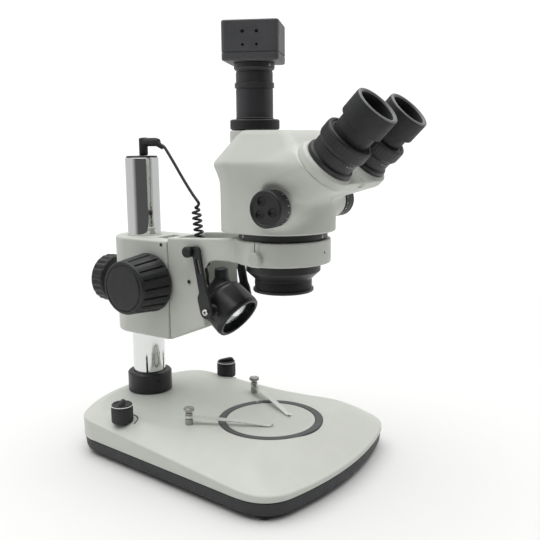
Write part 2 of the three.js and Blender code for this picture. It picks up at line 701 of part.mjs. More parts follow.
// ---- Photo port and camera ----
function makeCamera() {
  const [z0, z1] = CAMERA.z;
  const place = [0, PORT.y, 0];
  add("port_collar", turned([
    [13, 299.3], [20.8, 299.3], [21.2, 300.2], [21.2, 307.6], [20.6, 308.4], [13, 308.4], [13, 299.3],
  ], 20), BLACK(), place);
  add("photo_tube", turned([
    [13, 308.7], [15.9, 308.7], [15.9, 334.2], [16.8, 334.6], [16.8, 338.6], [15.9, 339],
    [15.9, 348.6], [18.7, 350], [18.7, z0 - GAP], [13, z0 - GAP], [13, 308.7],
  ], 20), BLACK(), place);
  const half = CAMERA.side / 2;
  const body = cut(
    plate(roundedRect(-half, half, -half, half, 3.5), z0, z1, 3),
    rod(12, z0 - 1, z0 + 8, 20),
  );
  const camera = add("camera_body", body, PAN_GREY(), place);
  camera.rotation.z = THREE.MathUtils.degToRad(CAMERA.turn);
}

// ---- Lamp lead: a right-angled plug in the pillar top, a straight lead, a curly cord, a tail ----
const CORD_R = 1.5;
const CURL_R = 4.9;
const LEAD = [
  [0, -29.1, 285.6], [0, -33, 281.2], [0, -40, 272], [0, -48, 261], [0, -56, 250.4],
  [0, -63, 241.8], [0, -68, 236.4], [0, -70.2, 233.4], [0, -70.4, 230.7],
];
const CURL = [[0, -66.8, 229.6], [0, -68, 216], [0, -70, 202], [0, -73, 187], [0, -77, 173]];
const TAIL = [[0, -77.2, 172.6], [0, -78.4, 167], [0, -78.6, 161], [0, -80.4, 157.2]];

function makeCord() {
  const relief = turned([[0, 0], [3.4, 0], [2.2, 9.4], [0, 9.4]], 8);
  const plug = join(
    rod(2.7, 267, 278, 12),
    rod(4.2, 276.9 + GAP, 293.9, 16).translate(0, -2.8, 0),
    rod(4, 0, 17.4, 16).rotateX(Math.PI / 2).translate(0, -2.8, 289.8),
    relief.rotateX(Math.PI / 2 + 0.42).translate(0, -19.6, 289.4),
  );
  add("dc_plug", plug, SOFT_BLACK());
  add("cord_lead", cordTube(LEAD, CORD_R, 12), SOFT_BLACK());
  add("cord_curl", cordTube(CURL, CURL_R, 4, 10), SOFT_BLACK());
  add("cord_tail", cordTube(TAIL, CORD_R, 5), SOFT_BLACK());
}

makeBase();
makeStage();
makeDimmers();
makePillar();
makeFocusBlock();
makeArm();
makeLamp();
makeHead();
makeEyepieces();
makeCamera();
makeCord();

export default microscope;
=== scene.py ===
"""Trinocular stereo microscope on a pillar stand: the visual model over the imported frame.

Shapes are worked out in millimetres in the stand's frame: the pillar's axis at x = y = 0, the user at -Y and
the bench at z = 0. piece() moves them into the row frame, in metres.
"""

import json
import math

import bmesh
import bpy
import numpy as np
from mathutils import Matrix, Vector


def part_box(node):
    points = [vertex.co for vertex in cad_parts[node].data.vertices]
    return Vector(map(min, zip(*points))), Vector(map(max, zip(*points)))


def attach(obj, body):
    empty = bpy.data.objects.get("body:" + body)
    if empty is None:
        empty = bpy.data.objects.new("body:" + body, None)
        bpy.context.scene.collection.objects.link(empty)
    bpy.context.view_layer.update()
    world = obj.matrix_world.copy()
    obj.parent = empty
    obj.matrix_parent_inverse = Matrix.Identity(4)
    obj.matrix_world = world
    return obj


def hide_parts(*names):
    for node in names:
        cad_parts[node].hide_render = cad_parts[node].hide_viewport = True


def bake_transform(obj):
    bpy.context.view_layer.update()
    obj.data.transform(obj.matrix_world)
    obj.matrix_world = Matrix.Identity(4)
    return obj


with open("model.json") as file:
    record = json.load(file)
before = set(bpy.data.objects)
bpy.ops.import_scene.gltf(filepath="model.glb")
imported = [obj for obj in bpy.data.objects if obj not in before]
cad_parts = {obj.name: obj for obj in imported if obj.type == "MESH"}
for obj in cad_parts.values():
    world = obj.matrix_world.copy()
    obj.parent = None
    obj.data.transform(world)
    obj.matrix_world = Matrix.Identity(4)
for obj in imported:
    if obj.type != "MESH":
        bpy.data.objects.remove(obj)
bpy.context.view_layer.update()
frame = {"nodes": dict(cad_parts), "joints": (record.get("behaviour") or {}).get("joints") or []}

MM = 0.001
JOINTS = {j["name"]: j for j in frame["joints"]}
PILLAR_Y = JOINTS["column_swivel"]["pos_m"][1] / MM
SIDES = (("left", -1), ("right", 1))


def pivot(joint):
    """A joint's point, in the stand's millimetres."""
    x, y, z = JOINTS[joint]["pos_m"]
    return np.array([x / MM, y / MM - PILLAR_Y, z / MM])


def extent(node):
    """A CAD node's lowest and highest corner, in the stand's millimetres."""
    low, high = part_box(node)
    shift = np.array([0, PILLAR_Y, 0])
    return np.array(low) / MM - shift, np.array(high) / MM - shift


# ---- Camera: found once from the known sizes of the stand ----
VIEW_FROM = Vector((-522.1, -504.7, 292.1))
VIEW_TURN = math.radians(34.25)
VIEW_DOWN = math.radians(10.2)
VIEW_ROLL = math.radians(-0.485)
LENS = 48.675


def make_camera():
    forward = Vector((math.cos(VIEW_TURN), math.sin(VIEW_TURN), 0)) * math.cos(VIEW_DOWN)
    forward.z = -math.sin(VIEW_DOWN)
    right = Vector((math.sin(VIEW_TURN), -math.cos(VIEW_TURN), 0))
    up = right.cross(forward)
    turn = Matrix.Rotation(VIEW_ROLL, 3, -forward)
    axes = Matrix((turn @ right, turn @ up, turn @ -forward)).transposed()
    data = bpy.data.cameras.new("camera")
    data.lens = LENS
    data.sensor_width = 36
    data.clip_end = 20
    camera = bpy.data.objects.new("camera", data)
    place = VIEW_FROM + Vector((0, PILLAR_Y, 0))
    camera.matrix_world = Matrix.LocRotScale(place * MM, axes.to_quaternion(), None)
    bpy.context.scene.collection.objects.link(camera)
    bpy.context.scene.camera = camera


# ---- Materials ----
def node_of(tree, kind, **inputs):
    node = tree.nodes.new(kind)
    for name, value in inputs.items():
        node.inputs[name.replace("_", " ")].default_value = value
    return node


def noise(tree, scale, detail=3.0, stretch=(1, 1, 1)):
    """Noise over the row frame; scale is in cells per metre."""
    place = node_of(tree, "ShaderNodeTexCoord")
    mapping = node_of(tree, "ShaderNodeMapping", Scale=stretch)
    texture = node_of(tree, "ShaderNodeTexNoise", Scale=scale, Detail=detail, Roughness=0.6)
    tree.links.new(place.outputs["Object"], mapping.inputs["Vector"])
    tree.links.new(mapping.outputs["Vector"], texture.inputs["Vector"])
    return texture.outputs["Fac"]


def spread(tree, source, low, high, socket):
    """Sends a noise to a socket as a value between low and high."""
    ramp = node_of(tree, "ShaderNodeMapRange")
    ramp.inputs["From Min"].default_value = 0.3
    ramp.inputs["From Max"].default_value = 0.7
    ramp.inputs["To Min"].default_value = low
    ramp.inputs["To Max"].default_value = high
    tree.links.new(source, ramp.inputs["Value"])
    tree.links.new(ramp.outputs["Result"], socket)


def finish(name, color, rough, metal=0.0, vary=0.06, patch=60, grain=900, bump=0.1, depth=0.05,
           rough_vary=0.06, stretch=(1, 1, 1), **extra):
    """A material with a colour that drifts a little, uneven gloss and a fine surface grain."""
    made = bpy.data.materials.new(name)
    made.use_nodes = True
    tree = made.node_tree
    shader = tree.nodes["Principled BSDF"]
    shader.inputs["Metallic"].default_value = metal
    for socket, value in extra.items():
        shader.inputs[socket.replace("_", " ")].default_value = value
    mix = node_of(tree, "ShaderNodeMix")
    mix.data_type = "RGBA"
    dark = [c * (1 - vary) for c in color]
    light = [min(1, c * (1 + vary)) for c in color]
    mix.inputs[6].default_value = (*dark, 1)
    mix.inputs[7].default_value = (*light, 1)
    spread(tree, noise(tree, patch, 4), 0, 1, mix.inputs["Factor"])
    tree.links.new(mix.outputs[2], shader.inputs["Base Color"])
    spread(tree, noise(tree, patch * 2.3, 3), rough - rough_vary, rough + rough_vary,
           shader.inputs["Roughness"])
    relief = node_of(tree, "ShaderNodeBump", Strength=bump, Distance=depth * MM)
    tree.links.new(noise(tree, grain, 3, stretch), relief.inputs["Height"])
    tree.links.new(relief.outputs["Normal"], shader.inputs["Normal"])
    return made


ENAMEL = finish("enamel", (0.560, 0.576, 0.534), 0.42, vary=0.02, grain=1500, bump=0.25, depth=0.06)
PAN_GREY = finish("pan_grey", (0.021, 0.0212, 0.0245), 0.55, vary=0.08, grain=1800, bump=0.4, depth=0.08)
RING_GREY = finish("ring_grey", (0.060, 0.062, 0.061), 0.45, vary=0.06, grain=1600, bump=0.2, depth=0.04)
SATIN_BLACK = finish("satin_black", (0.0105, 0.0108, 0.0125), 0.38, vary=0.10, grain=1800, bump=0.2,
                     depth=0.04)
KNOB_BLACK = finish("knob_black", (0.0095, 0.0098, 0.0118), 0.47, vary=0.12, grain=1400, bump=0.45,
                    depth=0.08)
CUP_RUBBER = finish("cup_rubber", (0.0115, 0.0120, 0.0140), 0.62, vary=0.10, grain=1300, bump=0.5,
                    depth=0.08)
CORD_RUBBER = finish("cord_rubber", (0.010, 0.010, 0.011), 0.42, vary=0.10, grain=1500, bump=0.2,
                     depth=0.04)
CAMERA_BLACK = finish("camera_black", (0.080, 0.081, 0.086), 0.46, vary=0.08, grain=2200, bump=0.35,
                      depth=0.05)
CHROME = finish("chrome", (0.71, 0.72, 0.71), 0.07, 1.0, vary=0.01, rough_vary=0.02, grain=300, bump=0.01,
                depth=0.01)
STEEL = finish("steel", (0.62, 0.62, 0.60), 0.26, 1.0, vary=0.05, grain=700, bump=0.2, depth=0.03,
               stretch=(1, 1, 14))
POST_STEEL = finish("post_steel", (0.40, 0.40, 0.38), 0.30, 1.0, vary=0.05, grain=700, bump=0.2, depth=0.03)
# A lighter, glossier copy of the cup rubber for the eyecup rims: a painted highlight.
CUP_RIM_HIGHLIGHT = finish("cup_rim_highlight", (0.15, 0.153, 0.158), 0.42, vary=0.10, grain=1300, bump=0.3, depth=0.05)
TUBE_BLACK = finish("tube_black", (0.034, 0.0345, 0.038), 0.42, vary=0.10, grain=1800, bump=0.2, depth=0.04)
CLIP_STEEL = finish("clip_steel", (0.66, 0.67, 0.63), 0.33, 1.0, vary=0.06, grain=900, bump=0.2, depth=0.03,
                    stretch=(1, 9, 1))
GREY_PLASTIC = finish("grey_plastic", (0.50, 0.52, 0.48), 0.42, vary=0.03, grain=1300, bump=0.2, depth=0.05)
FROSTED = finish("frosted", (0.52, 0.54, 0.50), 0.36, vary=0.015, grain=2600, bump=0.3, depth=0.03)
GLASS = finish("glass", (0.95, 0.97, 0.98), 0.03, vary=0.01, rough_vary=0.01, grain=40, bump=0.01,
               depth=0.01, Transmission_Weight=1.0, IOR=1.5)
# Deep black also colours the discs inside the objective and the eyepiece tubes, which are painted shade.
DEEP_BLACK = finish("deep_black", (0.008, 0.008, 0.009), 0.6, vary=0.1, grain=900, bump=0.2, depth=0.05)
PRINT = finish("print", (0.045, 0.045, 0.05), 0.5, vary=0.1, grain=900, bump=0.1, depth=0.02)
PRINT_WHITE = finish("print_white", (0.72, 0.73, 0.70), 0.5, vary=0.03, grain=900, bump=0.1, depth=0.02)
MIRROR = finish("mirror", (0.88, 0.88, 0.86), 0.12, 1.0, vary=0.02, grain=500, bump=0.05, depth=0.02)
BOARD_GREEN = finish("board_green", (0.02, 0.14, 0.05), 0.4, vary=0.15, grain=600, bump=0.2, depth=0.05)


# ---- Meshes ----
def grid_faces(rows, columns):
    """Quads over rows of points, each row a closed ring of columns."""
    r, c = np.meshgrid(np.arange(rows - 1), np.arange(columns), indexing="ij")
    right = (c + 1) % columns
    quads = np.stack([r * columns + c, r * columns + right, (r + 1) * columns + right,
                      (r + 1) * columns + c], -1)
    return quads.reshape(-1, 4).tolist()


def loft(rings, caps=True):
    """Points and faces over closed rings with the same count of points."""
    count = len(rings[0])
    faces = grid_faces(len(rings), count)
    if caps:
        faces.append(list(range(count))[::-1])
        faces.append([(len(rings) - 1) * count + i for i in range(count)])
    return np.concatenate([np.asarray(r, float) for r in rings]), faces


def rounded(profile, radius=0.4, steps=3, closed=False):
    """A profile with each corner turned into a small curve."""
    out = []
    points = [np.array(p[:2], float) for p in profile]
    for i, p in enumerate(points):
        if not closed and i in (0, len(points) - 1):
            out.append(p)
            continue
        before = points[i - 1] - p
        after = points[(i + 1) % len(points)] - p
        reach = min(radius, 0.45 * np.linalg.norm(before), 0.45 * np.linalg.norm(after))
        start = p + before / np.linalg.norm(before) * reach
        end = p + after / np.linalg.norm(after) * reach
        for t in np.linspace(0, 1, steps + 1):
            out.append((1 - t) ** 2 * start + 2 * t * (1 - t) * p + t * t * end)
    return out


def turned(profile, segments=96, relief=None, closed=False):
    """A profile of (radius, height) turned about +Z. relief(angle, radius, height) gives the radius."""
    line = np.array([p[:2] for p in profile], float)
    if closed:
        line = np.vstack([line, line[:1]])
    angle = np.linspace(0, 2 * math.pi, segments, endpoint=False)[None, :]
    radius = np.repeat(line[:, :1], segments, axis=1)
    height = np.repeat(line[:, 1:], segments, axis=1)
    if relief:
        radius = np.where(radius > 1e-3, relief(angle, radius, height), 0)
    points = np.stack([radius * np.cos(angle), radius * np.sin(angle), height], -1).reshape(-1, 3)
    return points, grid_faces(len(line), segments)


def lathe(name, profile, segments, material, body, replaces=(), place=None, edge=0.4, steps=3, closed=False,
          relief=None, **how):
    """A turned piece, with each corner of its profile rounded to a small radius."""
    shape = turned(rounded(profile, edge, steps, closed), segments, relief, closed)
    return piece(name, shape, material, body, replaces, place, **how)


def moved(x=0.0, y=0.0, z=0.0):
    return Matrix.Translation((x, y, z))


def facing_x(side, x, y, z):
    """Turns +Z to -X or +X, as side says, at a point."""
    return moved(x, y, z) @ Matrix.Rotation(side * math.pi / 2, 4, "Y")


def piece(name, shape, material, body, replaces=(), place=None, sharp=38, weighted=True, slot=None):
    """A mesh piece from a shape in the stand's millimetres, riding on a body."""
    points, faces = shape
    points = np.asarray(points, float)
    if place is not None:
        matrix = np.array(place)
        points = points @ matrix[:3, :3].T + matrix[:3, 3]
    points = (points + (0, PILLAR_Y, 0)) * MM
    mesh = bpy.data.meshes.new(name)
    mesh.from_pydata(points.tolist(), [], faces)
    work = bmesh.new()
    work.from_mesh(mesh)
    bmesh.ops.remove_doubles(work, verts=work.verts, dist=2e-6)
    bmesh.ops.dissolve_degenerate(work, edges=work.edges, dist=1e-7)
    work.to_mesh(mesh)
    work.free()
    mesh.polygons.foreach_set("use_smooth", [True] * len(mesh.polygons))
    mesh.set_sharp_from_angle(angle=math.radians(sharp))
    mesh.materials.append(material)
    made = bpy.data.objects.new(name, mesh)
    bpy.context.scene.collection.objects.link(made)
    if weighted:
        made.modifiers.new("normals", "WEIGHTED_NORMAL").keep_sharp = True
    if body:
        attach(made, body)
    if replaces:
        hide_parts(*replaces)
    return made


def carve(made, *cutters):
    """Cuts shapes in the stand's millimetres out of a piece."""
    tools = []
    for shape, place in cutters:
        tools.append(piece("cutter", shape, PRINT, None, place=place, weighted=False))
        cut = made.modifiers.new("cut", "BOOLEAN")
        cut.operation = "DIFFERENCE"
        cut.solver = "EXACT"
        cut.object = tools[-1]
    while made.modifiers[0].type != "BOOLEAN":
        made.modifiers.remove(made.modifiers[0])
    evaluated = made.evaluated_get(bpy.context.evaluated_depsgraph_get())
    mesh = bpy.data.meshes.new_from_object(evaluated)
    made.modifiers.clear()
    made.data = mesh
    mesh.polygons.foreach_set("use_smooth", [True] * len(mesh.polygons))
    mesh.set_sharp_from_angle(angle=math.radians(38))
    made.modifiers.new("normals", "WEIGHTED_NORMAL").keep_sharp = True
    for tool in tools:
        bpy.data.objects.remove(tool)
    return made


def ribs(count, depth, inner, low, high):
    """A relief of even ribs round a knob, outside a radius and between two heights."""
    def relief(angle, r, z):
        band = (r > inner) & (z > low) & (z < high)
        return r - np.where(band, depth * (0.5 + 0.5 * np.cos(count * angle)), 0)
    return relief


def rod(radius, low, high, segments=48, edge=0.3):
    return turned(rounded([(0, low), (radius, low), (radius, high), (0, high)], edge), segments)


def tube(points, radius, sides=12):
    """A round tube along points, with round ends."""
    line = np.asarray(points, float)
    along = np.gradient(line, axis=0)
    along /= np.linalg.norm(along, axis=1)[:, None]
    side = np.cross(along[0], (0.3, 0.9, 0.1))
    rings = []
    angle = np.linspace(0, 2 * math.pi, sides, endpoint=False)
    for p, t in zip(line, along):
        side = side - t * (side @ t)
        side /= np.linalg.norm(side)
        other = np.cross(t, side)
        ring = p + radius * (np.cos(angle)[:, None] * side + np.sin(angle)[:, None] * other)
        rings.append(ring)
    return loft(rings)


def smooth_path(points, count):
    """A smooth curve through points, at even steps along it."""
    line = np.asarray(points, float)
    padded = np.vstack([2 * line[0] - line[1], line, 2 * line[-1] - line[-2]])
    dense = []
    for a, b, c, d in zip(padded, padded[1:], padded[2:], padded[3:]):
        for t in np.linspace(0, 1, 24, endpoint=False):
            square = (2 * a - 5 * b + 4 * c - d) * t**2
            dense.append(0.5 * (2 * b + (c - a) * t + square + (3 * b - a - 3 * c + d) * t**3))
    dense.append(line[-1])
    dense = np.array(dense)
    walked = np.concatenate([[0], np.cumsum(np.linalg.norm(np.diff(dense, axis=0), axis=1))])
    at = np.linspace(0, walked[-1], count)
    return np.stack([np.interp(at, walked, dense[:, k]) for k in range(3)], -1)


# ---- Castings: distance fields, meshed on a grid ----
def smooth_max(a, b, k):
    h = np.maximum(k - np.abs(a - b), 0) / k
    return np.maximum(a, b) + h * h * k / 4


def smooth_min(a, b, k):
    return -smooth_max(-a, -b, k)


def between(v, low, high):
    return np.maximum(low - v, v - high)


def both(a, b, r):
    """Where two fields overlap, with the edge between them rounded to radius r."""
    qa, qb = a + r, b + r
    return np.hypot(np.maximum(qa, 0), np.maximum(qb, 0)) + np.minimum(np.maximum(qa, qb), 0) - r


def rounded_box(x, y, z, low, high, r):
    q = [np.abs(v - (a + b) / 2) - (b - a) / 2 + r for v, a, b in zip((x, y, z), low, high)]
    outside = np.sqrt(sum(np.maximum(v, 0) ** 2 for v in q))
    return outside + np.minimum(np.maximum(np.maximum(q[0], q[1]), q[2]), 0) - r


def polygon(u, v, points):
    """Distance to a closed outline, negative inside."""
    nearest = None
    winding = None
    for (ax, ay), (bx, by) in zip(points, points[1:] + points[:1]):
        ex, ey = bx - ax, by - ay
        t = np.clip(((u - ax) * ex + (v - ay) * ey) / (ex * ex + ey * ey), 0, 1)
        d = (u - ax - t * ex) ** 2 + (v - ay - t * ey) ** 2
        crosses = ((ay > v) != (by > v)) & (u < ex * (v - ay) / (ey if ey else 1e-9) + ax)
        nearest = d if nearest is None else np.minimum(nearest, d)
        winding = crosses if winding is None else winding ^ crosses
    return np.where(winding, -1, 1) * np.sqrt(nearest)


def stroke(u, v, start, end, r):
    """Distance to a strip with round ends."""
    ex, ey = end[0] - start[0], end[1] - start[1]
    t = np.clip(((u - start[0]) * ex + (v - start[1]) * ey) / (ex * ex + ey * ey), 0, 1)
    return np.hypot(u - start[0] - t * ex, v - start[1] - t * ey) - r


def casting(field, low, high, step):
    """Points and quads over a field's zero surface, found on a grid and then drawn onto it."""
    axes = [np.arange(a - 2 * step, b + 2.5 * step, step) for a, b in zip(low, high)]
    x, y, z = np.meshgrid(*axes, indexing="ij", sparse=True)
    d = np.array(np.broadcast_to(field(x, y, z), [len(a) for a in axes]))
    cells = [n - 1 for n in d.shape]
    total = np.zeros(cells + [3])
    count = np.zeros(cells)
    quads = []
    for axis in range(3):
        values = np.moveaxis(d, axis, 0)
        first, second = values[:-1], values[1:]
        crossing = (first < 0) != (second < 0)
        share = np.where(crossing, first / np.where(crossing, first - second, 1), 0)
        turned_total = np.moveaxis(total, axis, 0)
        turned_count = np.moveaxis(count, axis, 0)
        others = [k for k in range(3) if k != axis]
        n1, n2 = first.shape[1] - 1, first.shape[2] - 1
        index = np.indices((first.shape[0], n1, n2))
        for a in (0, 1):
            for b in (0, 1):
                hit = crossing[:, a : n1 + a, b : n2 + b]
                turned_count += hit
                turned_total[..., axis] += hit * (index[0] + share[:, a : n1 + a, b : n2 + b])
                turned_total[..., others[0]] += hit * (index[1] + a)
                turned_total[..., others[1]] += hit * (index[2] + b)
        i, j, k = np.nonzero(crossing[:, 1:-1, 1:-1])
        j, k = j + 1, k + 1
        outward = (first[i, j, k] < 0) != (axis == 1)
        round_cell = ((0, 0), (1, 0), (1, 1), (0, 1))
        for keep, order in ((outward, round_cell), (~outward, [(b, a) for a, b in round_cell])):
            corners = []
            for a, b in order:
                cell = [None] * 3
                cell[axis] = i[keep]
                cell[others[0]] = j[keep] - 1 + a
                cell[others[1]] = k[keep] - 1 + b
                corners.append(np.ravel_multi_index(cell, cells))
            quads.append(np.stack(corners, -1))
    used = np.flatnonzero(count.ravel())
    number = np.full(count.size, -1)
    number[used] = np.arange(len(used))
    origin = np.array([a[0] for a in axes])
    points = origin + step * total.reshape(-1, 3)[used] / count.ravel()[used][:, None]
    for _ in range(3):
        value = field(*points.T)
        slope = np.stack([field(*(points + e).T) - value for e in 0.02 * np.eye(3)], -1) / 0.02
        size = np.maximum(np.sum(slope**2, axis=1), 0.25)
        points -= slope * np.clip(value / size, -step, step)[:, None]
    return points, number[np.concatenate(quads)].tolist()


# ---- Base ----
def quad_curve(start, middle, end, steps):
    t = np.linspace(0, 1, steps, endpoint=False)[:, None]
    return (1 - t) ** 2 * np.array(start) + 2 * t * (1 - t) * np.array(middle) + t * t * np.array(end)


def base_plan(steps=22):
    """The plan of the base, clockwise from its right rear corner: bowed back, splayed sides, bowed front."""
    side = np.linspace(0, 1, steps, endpoint=False)[:, None]
    left_side = (1 - side) * np.array((-86.2, -10)) + side * np.array((-102, -180))
    right_side = (1 - side) * np.array((102, -180)) + side * np.array((86.2, -10))
    return np.concatenate([quad_curve((66, 22), (0, 58), (-66, 22), steps),
                           quad_curve((-66, 22), (-86, 12), (-86.2, -10), steps), left_side,
                           quad_curve((-102, -180), (-105.5, -215), (-76, -222.5), steps),
                           quad_curve((-76, -222.5), (0, -242.5), (76, -222.5), steps),
                           quad_curve((76, -222.5), (105.5, -215), (102, -180), steps), right_side,
                           quad_curve((86.2, -10), (86, 12), (66, 22), steps)])


PLAN = base_plan()
PLAN_MIDDLE = np.array((0, -96))
RIM = 2.2  # how far the shell's upright wall is drawn in where its slope begins


def plan_inset(distance):
    along = np.roll(PLAN, -1, axis=0) - np.roll(PLAN, 1, axis=0)
    along /= np.linalg.norm(along, axis=1)[:, None]
    return PLAN + distance * np.stack([-along[:, 1], along[:, 0]], -1)


def rim_height(y):
    """Height of the crisp edge round the shell, lower towards the user."""
    return 36.5 + 0.061 * np.minimum(y, 0)


def middle_height(y):
    """Height of the shell's middle, level round the stage and a little higher at the back."""
    t = np.clip((y + 110) / 80, 0, 1)
    return 40.4 + 1.4 * t * t * (3 - 2 * t)


def slope_height(rim, points):
    """Height of the shell at points drawn in from their own rim points."""
    reach = 14 + 0.11 * np.maximum(-rim[..., 1], 0)
    rise = 1 - (1 - np.clip(np.linalg.norm(rim - points, axis=-1) / reach, 0, 1)) ** 1.35
    low = rim_height(rim[..., 1])
    return low + (middle_height(points[..., 1]) - low) * rise


def base_top(x, y):
    """Height of the shell's top at a point of the plan, near enough to lay printing on it."""
    point = np.array((x, y))
    ray = point - PLAN_MIDDLE
    rim = plan_inset(RIM)
    out = rim - PLAN_MIDDLE
    turns = np.abs(np.angle(np.exp(1j * (np.arctan2(out[:, 1], out[:, 0]) - math.atan2(ray[1], ray[0])))))
    return float(slope_height(rim[np.argmin(turns)], point))


def level(points, height):
    z = height(points[:, 1]) if callable(height) else np.full(len(points), height)
    return np.column_stack([points, z])


def make_shell():
    foot = extent("base_shell")[0][2]
    rings = [level(plan_inset(1.2), foot), level(plan_inset(0.3), foot + 0.3),
             level(plan_inset(0), foot + 1.2)]
    for turn in np.linspace(0, math.radians(72), 6):
        rings.append(level(plan_inset(RIM * (1 - math.cos(turn)) / 0.69), lambda y,
                           t=turn: rim_height(y) - RIM * (1 - math.sin(t))))
    rim = plan_inset(RIM)
    for share in np.append(np.linspace(1, 0.55, 34)[1:], np.linspace(0.55, 0.02, 12)[1:]):
        flat = PLAN_MIDDLE + (rim - PLAN_MIDDLE) * share
        rings.append(np.column_stack([flat, slope_height(rim, flat)]))
    shell = piece("shell_casting", loft(rings), ENAMEL, "stand", ["base_shell"])
    ring_low, ring_high = extent("stage_trim_ring")
    radius = (ring_high[0] - ring_low[0]) / 2
    middle = (ring_low[1] + ring_high[1]) / 2
    collar = extent("pillar_collar")[1][0]
    carve(shell, (rod(radius + 0.35, 20, 60, 160), moved(0, middle, 0)),
          (rod(collar - 2, 10, 60, 64), moved()))


def make_pan():
    low = extent("base_pan")[0]
    bottom, top = low[2], extent("base_shell")[0][2] - 0.3
    rings = [level(plan_inset(6.5), bottom), level(plan_inset(4.2), bottom + 0.4),
             level(plan_inset(2.6), bottom + 1.8), level(plan_inset(1.7), bottom + 4.5),
             level(plan_inset(0.9), top - 0.9), level(plan_inset(1.5), top), level(plan_inset(5), top)]
    flat = plan_inset(6.5)
    under = [level(PLAN_MIDDLE + (flat - PLAN_MIDDLE) * s, bottom + lift) for s,
             lift in ((0.02, 1.4), (0.90, 1.4), (0.915, 0.2), (0.97, 0))]
    pan = piece("pan_moulding", loft(under + rings), PAN_GREY, "stand", ["base_pan"])
    for side, s in SIDES:
        for end, y in (("front", -190), ("rear", -22)):
            recess_screw("pan_screw_" + end + "_" + side, (s * 58, y, bottom + 1.4), (0, 0, -1), 3.4,
                         "stand")
    slots = [(rounded_slot(26, 2.4), moved(0, -96 - 7 * k, bottom - 2)) for k in range(6)]
    carve(pan, *slots)


def rounded_slot(length, width):
    """A slot's plug: a bar with round ends, 8 tall, along X."""
    half = length / 2 - width / 2
    ends = [(half, -math.pi / 2), (-half, math.pi / 2)]
    ring = [(x + width / 2 * math.cos(a), width / 2 * math.sin(a)) for x,
            start in ends for a in np.linspace(start, start + math.pi, 8)]
    ring = np.array(ring)
    return loft([level(ring, 0.0), level(ring, 8.0)])


def aim(point, direction):
    """Turns +Z to a direction, at a point."""
    turn = Vector(direction).to_track_quat("Z", "Y")
    return Matrix.LocRotScale(Vector(point), turn, None)


def recess_screw(name, point, direction, radius, body, material=None):
    """A socket screw whose head stands a little proud, with a hexagonal well."""
    def well(angle, r, z):
        flat = radius * 0.52
        fold = np.mod(angle, math.pi / 3) - math.pi / 6
        return np.where(r < radius * 0.6, np.minimum(r, flat / np.cos(fold) * 0.87), r)
    tall = 0.45 * radius
    profile = [(0, -0.3), (radius * 0.5, -0.3), (radius * 0.55, tall - 0.2), (radius * 0.62, tall),
               (radius * 0.9, tall), (radius, tall * 0.6), (radius, -tall), (0, -tall)]
    lathe(name, profile, 36, material or STEEL, body, place=aim(point, direction), slot="steel", edge=0.12,
          steps=2, relief=well)


def make_feet():
    for node in ("foot_front_left", "foot_front_right", "foot_rear_left", "foot_rear_right"):
        low, high = extent(node)
        radius = (high[0] - low[0]) / 2
        middle = (low + high) / 2
        top = high[2]
        profile = [(0, 0.5), (radius * 0.3, 0.5), (radius * 0.36, 0), (radius * 0.64, 0),
                   (radius * 0.72, 0.8), (radius, top - 0.4), (radius, top), (0, top)]
        lathe(node + "_pad", profile, 48, CUP_RUBBER, "stand", [node], moved(middle[0], middle[1], 0),
              edge=0.5)


def make_inlet():
    low, high = extent("power_inlet")
    middle = (low + high) / 2
    half = (high - low) / 2
    outline = box_outline(half[0], half[2], 1.6)
    face = high[1]
    rings = [(0.0, 0.7), (0.7, 0), (face - low[1], 0)]
    turn = moved(middle[0], face, middle[2]) @ Matrix.Rotation(math.pi / 2, 4, "X")
    block = piece("inlet_block", loft([level(shrink(outline, d), z) for z, d in rings]), SATIN_BLACK,
                  "stand", ["power_inlet"], turn, slot="black_plastic")
    carve(block, (rod(3.2, -3, 9, 40, 0.05), turn))
    ring = turned(rounded([(3.15, -0.25), (4.4, -0.25), (4.4, 0.6), (3.15, 0.6)], 0.15, closed=True), 48,
                  closed=True)
    piece("inlet_rim", ring, STEEL, "stand", place=turn)
    pin = rod(0.9, 0.8, 9, 24, 0.4)
    piece("inlet_pin", pin, STEEL, "stand", place=turn)


def box_outline(half_x, half_y, corner, steps=6):
    """A rectangle with round corners, counter-clockwise."""
    out = []
    for k, (sx, sy) in enumerate(((1, 1), (-1, 1), (-1, -1), (1, -1))):
        for a in np.linspace(k * math.pi / 2, (k + 1) * math.pi / 2, steps + 1):
            out.append((sx * (half_x - corner) + corner * math.cos(a),
                        sy * (half_y - corner) + corner * math.sin(a)))
    return np.array(out)


def shrink(outline, distance):
    """An outline drawn in along its own normals."""
    along = np.roll(outline, -1, axis=0) - np.roll(outline, 1, axis=0)
    along /= np.maximum(np.linalg.norm(along, axis=1), 1e-9)[:, None]
    return outline + distance * np.stack([-along[:, 1], along[:, 0]], -1)


# ---- Stage ----
def make_stage():
    low, high = extent("stage_trim_ring")
    plate_low, plate_high = extent("stage_plate")
    middle = (low + high) / 2
    place = moved(0, middle[1], 0)
    outer, inner = (high[0] - low[0]) / 2, (plate_high[0] - plate_low[0]) / 2
    top = high[2]
    ring = [(inner + 0.3, low[2]), (outer, low[2]), (outer, top + 0.25), (outer - 1, top + 0.45),
            (inner + 1.1, top + 0.3), (inner + 0.3, top - 0.3)]
    lathe("stage_ring", ring, 192, RING_GREY, "stand", ["stage_trim_ring"], place, edge=0.3, closed=True)
    bottom = plate_low[2]
    plate = [(0, bottom), (inner, bottom), (inner, plate_high[2]), (0, plate_high[2])]
    lathe("stage_disc", plate, 192, FROSTED, "stand", ["stage_plate"], place, edge=0.5)
    screw = (outer - 3.3) * np.array((math.cos(0.9), math.sin(0.9)))
    recess_screw("ring_set_screw", (screw[0], middle[1] + screw[1], top + 0.1), (0, 0, 1), 1.2, "stand")


CLIP_THICK = 0.8


